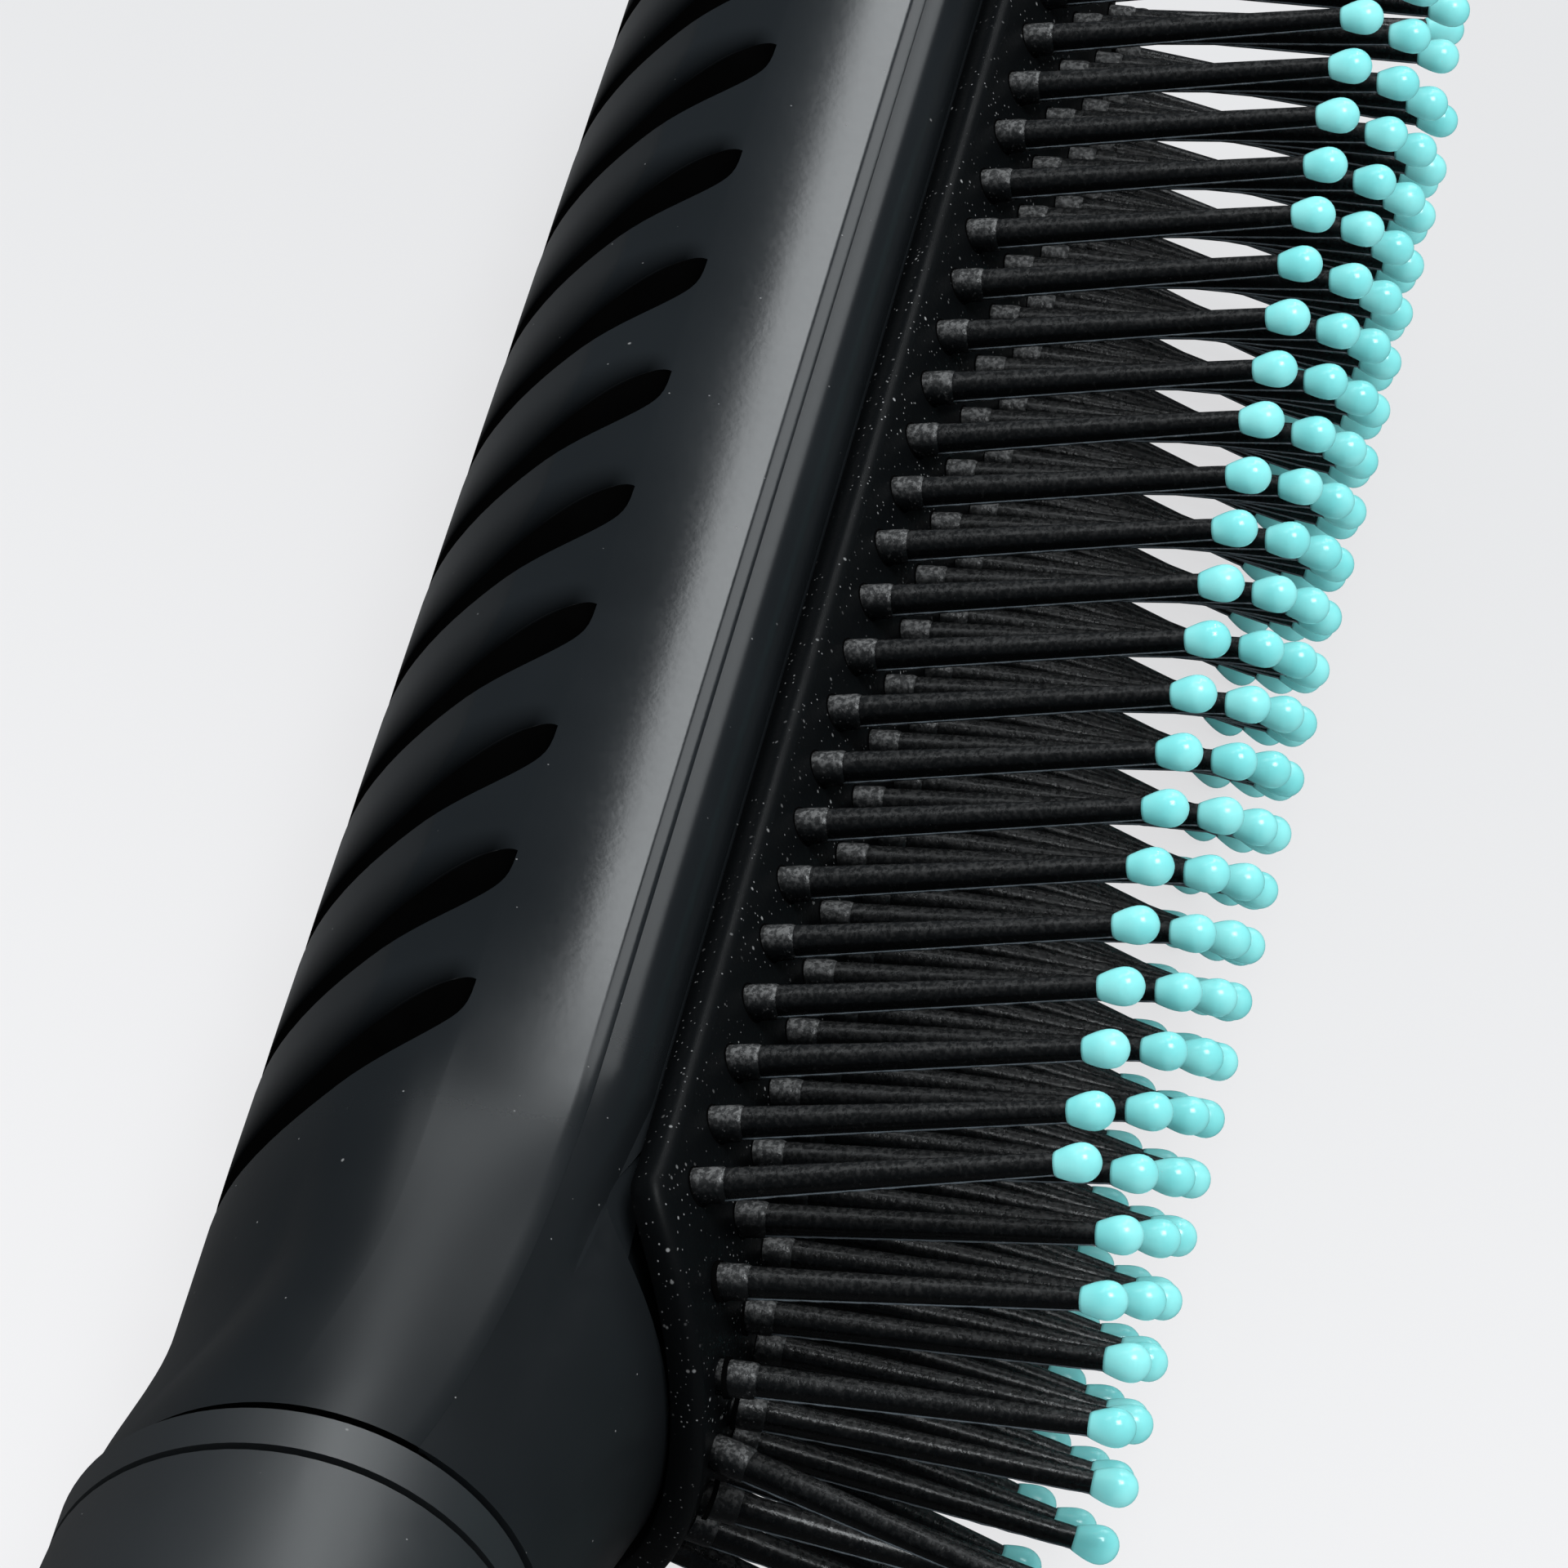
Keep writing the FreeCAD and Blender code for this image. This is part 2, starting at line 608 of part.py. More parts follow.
def curved_sheet(inner, outer, reach):
    """Layer between two radii about the plate's centre line, with both ends bent down."""
    half = 1.1 * size("plate_half_width")
    spots = []
    for radius in (inner, outer):
        angle = math.asin(half / radius) if radius > half else math.radians(75)
        for share in (-1, 0, 1):
            a = angle * share
            spots.append(Vector(bend_start_x, radius * math.sin(a), plate_centre_z + radius * math.cos(a)))
    low = Part.Arc(spots[0], spots[1], spots[2]).toShape()
    high = Part.Arc(spots[3], spots[4], spots[5]).toShape()
    ends = [Part.makeLine(spots[0], spots[3]), Part.makeLine(spots[2], spots[5])]
    face = Part.Face(Part.Wire(Part.__sortEdges__([low, high] + ends)))
    far_x = 2.0 * head_mid_x - bend_start_x
    pivot_z = size("plate_crest") - size("plate_bend_radius")
    straight = face.extrude(Vector(far_x - bend_start_x, 0, 0))
    near = face.revolve(Vector(bend_start_x, 0, pivot_z), Vector(0, 1, 0), -reach)
    shifted = face.translated(Vector(far_x - bend_start_x, 0, 0))
    far = shifted.revolve(Vector(far_x, 0, pivot_z), Vector(0, 1, 0), reach)
    return straight.fuse([near, far]).removeSplitter()


def make_plate():
    sheet_shape = curved_sheet(under_radius, size("plate_radius"), 22)
    outline_face = rounded_outline(size("plate_end_x"), size("plate_half_width"), size("plate_end_depth"))
    plate = sheet_shape.common(outline_face.extrude(Vector(0, 0, room)))
    plate = plate.Solids[0]
    radius = size("pin_collar_radius") + size("plate_hole_play")
    depth = size("plate_thickness") + 1.5
    cutters = []
    for row in range(1, ROWS + 1):
        base = row_placement(row)
        for frame in pin_frames(row):
            cutter = Part.makeCylinder(radius, depth + 1.5, Vector(0, 0, -depth), Vector(0, 0, 1))
            cutter.Placement = base * frame
            cutters.append(cutter)
    return plate.cut(cutters)


def louvre_cutters():
    """Slanted cutters, each for one half of one louvre, outlined in the plane that faces the slanted cut."""
    end_s = size("louvre_end_s")
    root = math.sqrt(0.5)
    steps = [1.0 - (i / 9.0) ** 2.5 for i in range(10)]
    rows = []
    for u in steps:
        open_share = 1.0 - u ** size("louvre_curve")
        tip = size("louvre_tip") * u ** 30
        near = size("louvre_sweep") * open_share ** size("louvre_fullness") + tip
        far = (size("louvre_sweep") - size("louvre_width")) * open_share + tip
        rows.append((u * end_s, near, far))
    cutters = []

    def spot(x, s):
        return Vector(at + x, (s + 3.0) * root, (s - 3.0) * root)

    for i in range(int(size("louvre_count"))):
        at = size("first_louvre_x") + i * size("louvre_pitch")
        near = [spot(-low, s) for s, low, up in rows]
        far = [spot(-up, s) for s, low, up in rows]
        near_curve = Part.BSplineCurve()
        near_curve.interpolate(near)
        far_curve = Part.BSplineCurve()
        far_curve.interpolate(far)
        near_end = spot(-size("louvre_sweep"), -0.8 * end_s)
        far_end = spot(size("louvre_width") - size("louvre_sweep"), -0.8 * end_s)
        edges = [
            near_curve.toShape(),
            Part.makeLine(near[-1], near_end),
            Part.makeLine(near_end, far_end),
            Part.makeLine(far_end, far[-1]),
            far_curve.toShape(),
        ]
        face = Part.Face(Part.Wire(Part.__sortEdges__(edges)))
        cutter = face.extrude(Vector(0, size("head_half_width"), -size("head_half_width")))
        half = Part.makeBox(room, room, room, Vector(at - room / 2.0, 0, -room / 2.0))
        cutter = cutter.common(half)
        cutters.append(cutter)
        cutters.append(cutter.mirror(Vector(0, 0, 0), Vector(0, 1, 0)))
    return cutters


def cavity():
    """Hollow of the head, under the pocket's floor."""
    lower = full_half(size("wall"))
    x = size("cavity_x")
    arc_y = lower[-1][0] - 2.0
    arc_z = plate_centre_z + math.sqrt(cavity_radius ** 2 - arc_y ** 2)
    below = Part.BSplineCurve()
    below.interpolate([Vector(x, -b, c) for b, c in reversed(lower[1:])] + [Vector(x, b, c) for b, c in lower])
    crown = Part.Arc(Vector(x, -arc_y, arc_z), Vector(x, 0, plate_centre_z + cavity_radius), Vector(x, arc_y, arc_z))
    edges = [below.toShape(), crown.toShape()]
    for sign in (-1, 1):
        start = Vector(x, sign * lower[-1][0], lower[-1][1])
        edges.append(Part.makeLine(start, Vector(x, sign * arc_y, arc_z)))
    face = Part.Face(Part.Wire(Part.__sortEdges__(edges)))
    return face.extrude(Vector(nose_start_x + size("cavity_past_nose") - x, 0, 0))


def core_bore():
    radius = size("core_share") * size("neck_radius") + size("core_play")
    length = neck_x + size("core_in_head") + size("core_play") + 5
    return Part.makeCylinder(radius, length, Vector(-5, 0, 0), Vector(1, 0, 0))


def make_shell(block, hollow, bore):
    shell = block.common(seam_prism(0.0, -room))
    shell = shell.cut([hollow, bore])
    return shell.cut(louvre_cutters())


def make_frame(block, hollow, bore):
    frame = block.common(seam_prism(size("seam_gap"), room))
    over = curved_sheet(under_radius, 1.5 * under_radius, 60)
    behind = Vector(size("plate_end_x") - 0.6 - room, -room / 2.0, -room / 2.0)
    over = over.cut(Part.makeBox(room, room, room, behind))
    pocket = rounded_outline(size("plate_end_x") + size("pocket_end_inset"),
                             size("plate_half_width") - size("pocket_side_inset"),
                             size("plate_end_depth") - 0.4)
    pocket = pocket.extrude(Vector(0, 0, room))
    floor = Part.makeCylinder(deck_radius, head_far_x + room, Vector(0, 0, plate_centre_z), Vector(1, 0, 0))
    pocket = pocket.cut(floor)
    for cutter in (over, pocket, hollow, bore):
        frame = frame.cut(cutter)
    return frame


def add_part(label, shape):
    piece = doc.addObject("Part::Feature", label)
    piece.Label = label
    piece.Shape = shape
    return piece


# the brush comes to rest on its side: on the grip's swell, the barrel's side and the pins of row 7
pieces = []
for piece in (make_collar(), make_core(), make_grip(), make_cap()):
    pieces.append((piece, Placement()))
for row in range(1, ROWS + 1):
    pieces.append((make_row(row), row_placement(row)))
    pieces.append((add_part("tip_coats_row_%d" % row, make_coats(row)), row_placement(row)))

block = head_block()
hollow = cavity()
bore = core_bore()
pieces.append((add_part("back_shell", make_shell(block, hollow, bore)), Placement()))
pieces.append((add_part("front_frame", make_frame(block, hollow, bore)), Placement()))
pieces.append((add_part("pin_plate", make_plate()), Placement()))

doc.recompute()


def outer_tip_height(turn):
    """Height of the lowest coated tip of the last row after a turn about the handle axis."""
    frame = row_placement(ROWS) * pin_frames(ROWS)[0]
    centre = frame.multVec(Vector(0, 0, size("pin_reach")))
    return turn.multVec(centre).z - size("coat_radius")


def barrel_height(turn):
    """Height of the lowest place on the barrel's side after the same turn."""
    return min(turn.multVec(Vector(0, -y, z)).z for y, z in full_half())


low, high = 70.0, 90.0
while high - low > 0.0001:
    middle = (low + high) / 2.0
    trial = Rotation(Vector(1, 0, 0), middle)
    if outer_tip_height(trial) > barrel_height(trial):
        low = middle
    else:
        high = middle
turn = Rotation(Vector(1, 0, 0), low)
span = head_mid_x + size("swell_x")
pitch = math.degrees(math.asin((-size("swell_radius") - barrel_height(turn)) / span))
laid = Placement(Vector(0, 0, 0), Rotation(Vector(0, 1, 0), pitch) * turn)
for piece, place in pieces:
    piece.Placement = laid * place
doc.recompute()
box = Part.makeCompound([piece.Shape for piece, place in pieces]).optimalBoundingBox(True, False)
rest = Placement(Vector(-box.Center.x, -box.Center.y, -box.ZMin), Rotation()) * laid
for piece, place in pieces:
    piece.Placement = rest * place
doc.recompute()

os.makedirs("parts", exist_ok=True)
for piece in doc.Objects:
    if "Invalid" in piece.State or "Error" in piece.State:
        raise SystemExit("%s did not compute" % piece.Label)
for piece, place in pieces:
    shape = piece.Shape
    if shape.isNull() or not shape.isValid():
        raise SystemExit("%s has no valid shape" % piece.Label)
    shape.exportStep("parts/%s.step" % piece.Label)
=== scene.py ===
import math

import bmesh
import bpy
import numpy as np
from mathutils import Matrix, Vector


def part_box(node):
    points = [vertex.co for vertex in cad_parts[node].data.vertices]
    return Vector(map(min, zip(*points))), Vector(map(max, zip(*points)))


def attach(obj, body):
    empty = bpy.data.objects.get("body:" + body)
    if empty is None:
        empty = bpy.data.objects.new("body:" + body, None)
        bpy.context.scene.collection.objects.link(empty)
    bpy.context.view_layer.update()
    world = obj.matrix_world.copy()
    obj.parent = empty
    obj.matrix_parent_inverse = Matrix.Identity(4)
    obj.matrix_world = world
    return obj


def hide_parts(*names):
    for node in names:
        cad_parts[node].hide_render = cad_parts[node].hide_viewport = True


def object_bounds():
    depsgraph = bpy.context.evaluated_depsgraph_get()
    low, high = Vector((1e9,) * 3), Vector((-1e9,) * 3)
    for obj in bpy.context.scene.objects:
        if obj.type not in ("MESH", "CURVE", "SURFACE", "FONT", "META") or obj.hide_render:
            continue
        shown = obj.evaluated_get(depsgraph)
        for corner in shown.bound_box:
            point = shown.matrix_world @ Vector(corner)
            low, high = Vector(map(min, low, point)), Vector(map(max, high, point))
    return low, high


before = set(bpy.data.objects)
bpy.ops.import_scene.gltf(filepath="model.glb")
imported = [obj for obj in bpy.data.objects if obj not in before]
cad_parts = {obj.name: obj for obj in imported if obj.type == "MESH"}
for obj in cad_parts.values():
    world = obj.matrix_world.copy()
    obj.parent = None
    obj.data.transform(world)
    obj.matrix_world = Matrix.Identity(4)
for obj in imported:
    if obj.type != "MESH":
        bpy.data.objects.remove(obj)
first_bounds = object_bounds()

MM = 0.001

# The brush's own frame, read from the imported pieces: x along the handle, z along the middle row's pins
collar_low, collar_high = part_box("neck_collar")
tips_low, tips_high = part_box("tip_coats_row_4")
START = (collar_low + collar_high) / 2
START.x = collar_low.x
PIN_WAY = (tips_low + tips_high) / 2 - START
PIN_WAY.x = 0.0
PIN_WAY.normalize()
HEAD_WAY = Vector((1.0, 0.0, 0.0))
SIDE_WAY = PIN_WAY.cross(HEAD_WAY)
BRUSH = Matrix((HEAD_WAY, SIDE_WAY, PIN_WAY)).transposed().to_4x4()
BRUSH.translation = START

# Pin field, in millimetres
ROWS = 7
MIDDLE_ROW = 4
PIN_PITCH = 4.0
ROW_SPACING = 3.63
FAN_STEP = math.radians(6.04)
FIRST_PIN = 20.5
OUTER_PINS = 25
PIN_REACH = 16.4
PIN_ROOT = 0.73
PIN_NECK = 0.50
COLLAR_RADIUS = 0.80
COLLAR_HEIGHT = 1.15
BALL_RADIUS = 0.60
COAT_RADIUS = 0.85
COAT_TAIL = 1.15
END_PIN_INSET = 1.9
END_PIN_LEAN = math.radians(17.0)
FIRST_PIN_LEAN = math.radians(2.4)
PIN_TAPER = ((0.66, 5.0), (0.58, 10.0))
CHANCE_LEAN = 0.004

# Moulding flash along each pin, and the painted sheen on the upper side of the pins
FLASH_ANGLE = math.radians(203.0)
FLASH_HALF_WIDTH, FLASH_RISE, FLASH_WAVE, FLASH_STEPS = 0.035, 0.075, 0.02, 24
UPPER_ANGLE, UPPER_POWER = math.radians(93.0), 4.0

# Pin plate, in millimetres
PLATE_RADIUS = 18.4
PLATE_CREST = 15.67
PLATE_THICKNESS = 1.5
PLATE_HALF = 12.3
PLATE_END = 13.68
PLATE_END_DEPTH = 4.77
PLATE_BEND_RADIUS = 24.5
PLATE_BEND_INSET = 6.4
PLATE_EDGE_ROUND = 0.5
ACROSS = 40
ALONG = 60

# Back shell, in millimetres
SEAM_Y, SEAM_Z, SEAM_NECK_Z = 13.0, 7.4, 4.3
HALF_WIDTH, WIDEST_Z, BACK_Z, SIDE_RADIUS = 13.3, 1.5, -8.1, 7.0
NECK_RADIUS, NECK_BACK_STEP = 10.2, 0.55
NECK_X, STRAIGHT_X, BACK_X = 2.9, 24.0, 14.0
NOSE_LENGTH, NOSE_OVERHANG, NOSE_FLAT = 15.5, 4.6, 0.42
NOSE_POWER = 2.5
WALL, LEAST_WALL = 2.6, 0.3
LOUVRES, LOUVRE_PITCH, FIRST_LOUVRE = 11, 8.63, 27.6
LOUVRE_WIDTH, LOUVRE_SWEEP, LOUVRE_END = 2.25, 7.5, 10.35
LOUVRE_CURVE, LOUVRE_FULLNESS = 1.8, 0.34
LOUVRE_TIP, LOUVRE_TIP_POWER = 0.55, 30

# The inward roll along each rib: its size, how fast it grows from a louvre's tip, and how its painted
# shade fades across the roll and grows from the tip
ROLL_WIDTH, ROLL_LEAST, ROLL_DEPTH = 4.0, 0.8, 0.95
WIDTH_GROWTH, DEPTH_GROWTH, SHADE_FADE, SHADE_GROWTH = 0.6, 1.3, 1.25, 8.0
ROLL_STEPS = (0.0, 0.03, 0.08, 0.16, 0.27, 0.4, 0.54, 0.7, 0.86, 1.0)

# Mesh columns along the shell, and rows round it: louvre ends, back, and the belt by the seam
NECK_COLUMNS, NOSE_COLUMNS, RIB_COLUMNS = 18, 20, 5
END_ROWS, BACK_ROWS, BELT_ROWS = 22, 8, 9

# Where the half section's back, side and upper arcs end
BACK_V, SIDE_V, SEAM_V = 3.0, 7.0, 10.0

# Edges sharper than this, in degrees, stay sharp
SHELL_CREASE, CAD_CREASE = 40.0, 28.0

ROW_ANGLE = ROW_SPACING / PLATE_RADIUS
PLATE_CENTRE = PLATE_CREST - PLATE_RADIUS
HEAD_MIDDLE = FIRST_PIN + PIN_PITCH * (OUTER_PINS - 1) / 2
SHELL_END = 2.0 * HEAD_MIDDLE - PLATE_END + NOSE_OVERHANG


# Shader maths

class Value:
    """A number that varies over a surface. Its operators add Math nodes."""

    def __init__(self, paint, socket):
        self.paint = paint
        self.socket = socket

    def maths(self, operation, *others):
        return self.paint.node("ShaderNodeMath", {"operation": operation}, self, *others)

    def __add__(self, other):
        return self.maths("ADD", other)

    def __sub__(self, other):
        return self.maths("SUBTRACT", other)

    def __mul__(self, other):
        return self.maths("MULTIPLY", other)

    def larger(self, other):
        return self.maths("MAXIMUM", other)

    def below(self, limit):
        return self.maths("LESS_THAN", limit)


class Paint:
    """A material and the nodes that are added to it."""

    def __init__(self, name, **constants):
        self.material = bpy.data.materials.new(name)
        self.material.use_nodes = True
        self.tree = self.material.node_tree
        self.shader = self.tree.nodes["Principled BSDF"]
        for key, value in constants.items():
            self.shader.inputs[key.replace("_", " ")].default_value = value
        self.place = self.node("ShaderNodeTexCoord", {}, output="Object")

    def node(self, kind, settings=None, *inputs, output=0, **named):
        """Adds a node. Inputs come by order or by name, as numbers or as Values."""
        made = self.tree.nodes.new(kind)
        for key, value in (settings or {}).items():
            setattr(made, key, value)
        given = [(made.inputs[i], v) for i, v in enumerate(inputs)]
        given += [(made.inputs[key.replace("_", " ")], v) for key, v in named.items()]
        for socket, value in given:
            if isinstance(value, Value):
                self.tree.links.new(value.socket, socket)
            else:
                socket.default_value = value
        return Value(self, made.outputs[output])

    def noise(self, scale, detail=2.0, rough=0.5):
        inputs = {"Vector": self.place, "Scale": scale, "Detail": detail, "Roughness": rough}
        return self.node("ShaderNodeTexNoise", {}, **inputs)

    def ramp(self, value, low, high, to_low=0.0, to_high=1.0):
        """Goes smoothly from to_low to to_high as the value goes from low to high."""
        smooth = {"interpolation_type": "SMOOTHSTEP"}
        return self.node("ShaderNodeMapRange", smooth, value, low, high, to_low, to_high)

    def attribute(self, name):
        return self.node("ShaderNodeAttribute", {"attribute_name": name}, output="Fac")

    def mix(self, factor, a, b):
        made = self.tree.nodes.new("ShaderNodeMix")
        made.data_type = "RGBA"
        for index, value in ((0, factor), (6, a), (7, b)):
            if isinstance(value, Value):
                self.tree.links.new(value.socket, made.inputs[index])
            else:
                made.inputs[index].default_value = value
        return Value(self, made.outputs[2])

    def specks(self, scale, radius, share):
        """Small round specks, 1 inside them. share is how many of the cells have one."""
        cell = {"feature": "F1", "distance": "EUCLIDEAN"}
        inputs = {"Vector": self.place, "Scale": scale, "Randomness": 1.0}
        near = self.node("ShaderNodeTexVoronoi", cell, **inputs)
        which = self.node("ShaderNodeTexVoronoi", cell, output="Color", **inputs)
        chosen = self.node("ShaderNodeSeparateColor", {}, which).below(share)
        return self.ramp(near, radius, radius * 0.4) * chosen

    def bump(self, height, depth, strength):
        return self.node("ShaderNodeBump", {}, Strength=strength, Distance=depth, Height=height)

    def shaded(self, name):
        """Painted shade: fades to a dull black where the mesh attribute of that name is 1."""
        share = self.attribute(name)
        dull = self.tree.nodes.new("ShaderNodeBsdfPrincipled")
        dull.inputs["Base Color"].default_value = PAINTED_SHADE_BLACK
        dull.inputs["Roughness"].default_value = 0.9
        dull.inputs["Specular IOR Level"].default_value = 0.0
        both = self.tree.nodes.new("ShaderNodeMixShader")
        self.tree.links.new(share.socket, both.inputs[0])
        self.tree.links.new(self.shader.outputs[0], both.inputs[1])
        self.tree.links.new(dull.outputs[0], both.inputs[2])
        self.tree.links.new(both.outputs[0], self.tree.nodes["Material Output"].inputs["Surface"])

    def feed(self, **sockets):
        """Links Values to the shader's inputs and returns the material."""
        for key, value in sockets.items():
            self.tree.links.new(value.socket, self.shader.inputs[key.replace("_", " ")])
        return self.material


def grey(level, tint=(1.0, 1.0, 1.0)):
    return (level * tint[0], level * tint[1], level * tint[2], 1.0)


COOL = (0.84, 1.0, 1.14)
PAINTED_SHADE_BLACK = (0.0012, 0.0014, 0.0016, 1.0)

# Where the neck's duller finish starts and where it is full: x of the scene, in metres
NECK_SHEEN_ENDS, NECK_DULL = 0.027, 0.002
SATIN_DUST, SATIN_GRAIN = 0.02, 0.000003


def satin_black(name, level, rough, shine=0.3, neck_rough=0.0, shade=None):
    """Moulded black plastic: faint grain, handling sheen that varies, a little pale dust. With shade, it
    fades to painted shade by that mesh attribute.
    """
    paint = Paint(name, IOR=1.5, Specular_IOR_Level=shine)
    sheen = paint.noise(55.0, 3.0, 0.6)
    fine = paint.noise(2600.0, 3.0, 0.6)
    dots = paint.specks(900.0, 0.10, SATIN_DUST)
    tiny = paint.specks(2300.0, 0.13, SATIN_DUST * 1.4)
    dirt = dots.larger(tiny)
    base = paint.mix(paint.ramp(sheen, 0.3, 0.7), grey(level * 0.9, COOL), grey(level * 1.15, COOL))
    colour = paint.mix(dirt * 0.6, base, grey(0.30))
    handled = paint.ramp(sheen, 0.2, 0.8, rough - 0.015, rough + 0.02)
    roughness = handled + (fine - 0.5) * 0.04 + dirt * 0.3
    if neck_rough:
        along = paint.node("ShaderNodeSeparateXYZ", {}, paint.place)
        roughness = roughness + paint.ramp(along, NECK_SHEEN_ENDS, NECK_DULL, 0.0, neck_rough)
    normal = paint.bump(fine, SATIN_GRAIN, 0.6)
    # painted shade: fades to a dull black by the mesh attribute that shade names
    if shade:
        paint.shaded(shade)
    return paint.feed(Base_Color=colour, Roughness=roughness, Normal=normal)


def plate_black(name):
    """The plate: near black, with dust lying on it."""
    paint = Paint(name, IOR=1.45, Specular_IOR_Level=0.10)
    haze = paint.noise(90.0, 4.0, 0.65)
    fine = paint.noise(3500.0, 2.0, 0.5)
    thick = paint.ramp(paint.noise(260.0, 3.0, 0.6), 0.35, 0.7)
    dots = paint.specks(1500.0, 0.17, 0.42)
    tiny = paint.specks(3600.0, 0.20, 0.50)
    dirt = dots.larger(tiny) * thick
    colour = paint.mix(dirt * 0.8, grey(0.003, COOL), grey(0.42))
    roughness = paint.ramp(haze, 0.3, 0.75, 0.38, 0.52) + dirt * 0.3
    normal = paint.bump(fine, 0.00002, 0.5)
    return paint.feed(Base_Color=colour, Roughness=roughness, Normal=normal)


def pin_nylon(name, level, peak, rough, depth, painted_glints):
    """Black nylon with a fine leathery grain, painted glints in the grain, and a painted sheen on the
    upper side.
    """
    paint = Paint(name, IOR=1.5, Specular_IOR_Level=0.26)
    grain = paint.noise(4300.0, 2.0, 0.6)
    coarse = paint.noise(2000.0, 2.0, 0.5)
    # painted glints: dots, and shine from the grain, make the colour paler in small spots
    dots = paint.specks(4500.0, 0.22, painted_glints)
    shine = paint.ramp(grain, 0.60, 0.72)
    # painted sheen: the colour is paler on the pin's upper side, by the mesh attribute upper
    painted_sheen = paint.attribute("upper") * paint.ramp(grain, 0.42, 0.62, 0.25, 1.0)
    colour = paint.mix(shine * 0.15 + dots * 0.4 + painted_sheen, grey(level, COOL), grey(peak))
    roughness = paint.ramp(coarse, 0.3, 0.7, rough, rough + 0.10)
    normal = paint.bump(grain + coarse * 0.5, depth, 0.9)
    return paint.feed(Base_Color=colour, Roughness=roughness, Normal=normal)


def dipped_turquoise(name):
    """Thick dipped coating: glossy, a little uneven, slightly paler where it lies thin."""
    paint = Paint(name, IOR=1.5, Coat_IOR=1.5, Coat_Roughness=0.05, Subsurface_Weight=0.12,
                  Subsurface_Radius=(0.4, 1.0, 1.0), Subsurface_Scale=0.0004)
    cloud = paint.noise(420.0, 2.0, 0.5)
    fine = paint.noise(1800.0, 2.0, 0.5)
    dots = paint.specks(3000.0, 0.12, 0.05)
    tone = paint.mix(paint.ramp(cloud, 0.3, 0.7), (0.21, 0.68, 0.68, 1.0), (0.29, 0.78, 0.77, 1.0))
    colour = paint.mix(dots * 0.4, tone, grey(0.5))
    roughness = paint.ramp(cloud, 0.3, 0.7, 0.16, 0.24)
    normal = paint.bump(fine, 0.00002, 0.25)
    return paint.feed(Base_Color=colour, Roughness=roughness, Normal=normal)


def plain_dark(name):
    paint = Paint(name, IOR=1.45)
    cloud = paint.noise(300.0)
    return paint.feed(Roughness=paint.ramp(cloud, 0.3, 0.7, 0.5, 0.6),
                      Base_Color=paint.mix(cloud, grey(0.04), grey(0.05)))


def painted_shadow_black(name):
    """Painted shadow: near black without gloss, for the clearance round a pin's foot and for the shell's
    inner skin and louvre walls.
    """
    paint = Paint(name, Specular_IOR_Level=0.0)
    cloud = paint.noise(500.0)
    return paint.feed(Roughness=paint.ramp(cloud, 0.0, 1.0, 0.8, 0.95),
                      Base_Color=paint.mix(cloud, grey(0.001), grey(0.002)))


# the shell fades to painted shade along each rib's roll, by the mesh attribute rolled
SHELL = satin_black("shell_satin_black", level=0.010, rough=0.12, neck_rough=0.24, shade="rolled")
FRAME = satin_black("frame_satin_black", level=0.009, rough=0.23, neck_rough=0.16)
COLLAR = satin_black("collar_satin_black", level=0.012, rough=0.44, shine=1.0)
GRIP = satin_black("grip_satin_black", level=0.012, rough=0.46, shine=1.0)
CAP = satin_black("cap_satin_black", level=0.013, rough=0.40, shine=0.9)
PLATE = plate_black("plate_near_black")
# peak is the grey of the painted sheen and painted glints; the roots have more of both, as a painted
# highlight on the collars
NYLON = pin_nylon("pin_nylon_black", level=0.0015, peak=0.026, rough=0.22, depth=0.000026, painted_glints=0.05)
ROOT = pin_nylon("pin_root_nylon", level=0.003, peak=0.11, rough=0.27, depth=0.000044, painted_glints=0.30)
# painted highlight: the moulding flash is painted pale, as the bright line along each pin
FLASH_HIGHLIGHT = pin_nylon("pin_flash_line", level=0.10, peak=0.34, rough=0.35, depth=0.00005, painted_glints=0.40)
TURQUOISE = dipped_turquoise("tips_dipped_turquoise")
CORE = plain_dark("core_dark_plastic")
# painted shadow: near black for the pins' feet, the shell's inner skin and the louvres' walls
PAINTED_SHADOW = painted_shadow_black("hole_shadow")


# Meshes

def blend(a, b, t):
    return a + (b - a) * t


def ease(t):
    t = min(1.0, max(0.0, t))
    return t * t * (3.0 - 2.0 * t)


def smoothed(bm, crease=None):
    """Smooth shading. Edges sharper than crease, in degrees, stay sharp."""
    for face in bm.faces:
        face.smooth = True
    if crease:
        limit = math.radians(crease)
        for edge in bm.edges:
            edge.smooth = len(edge.link_faces) == 2 and edge.calc_face_angle(0.0) < limit


def closed_mesh(bm, name, crease=None):
    """Turns all faces outwards and returns a smoothly shaded mesh."""
    bmesh.ops.recalc_face_normals(bm, faces=bm.faces)
    smoothed(bm, crease)
    mesh = bpy.data.meshes.new(name)
    bm.to_mesh(mesh)
    bm.free()
    return mesh


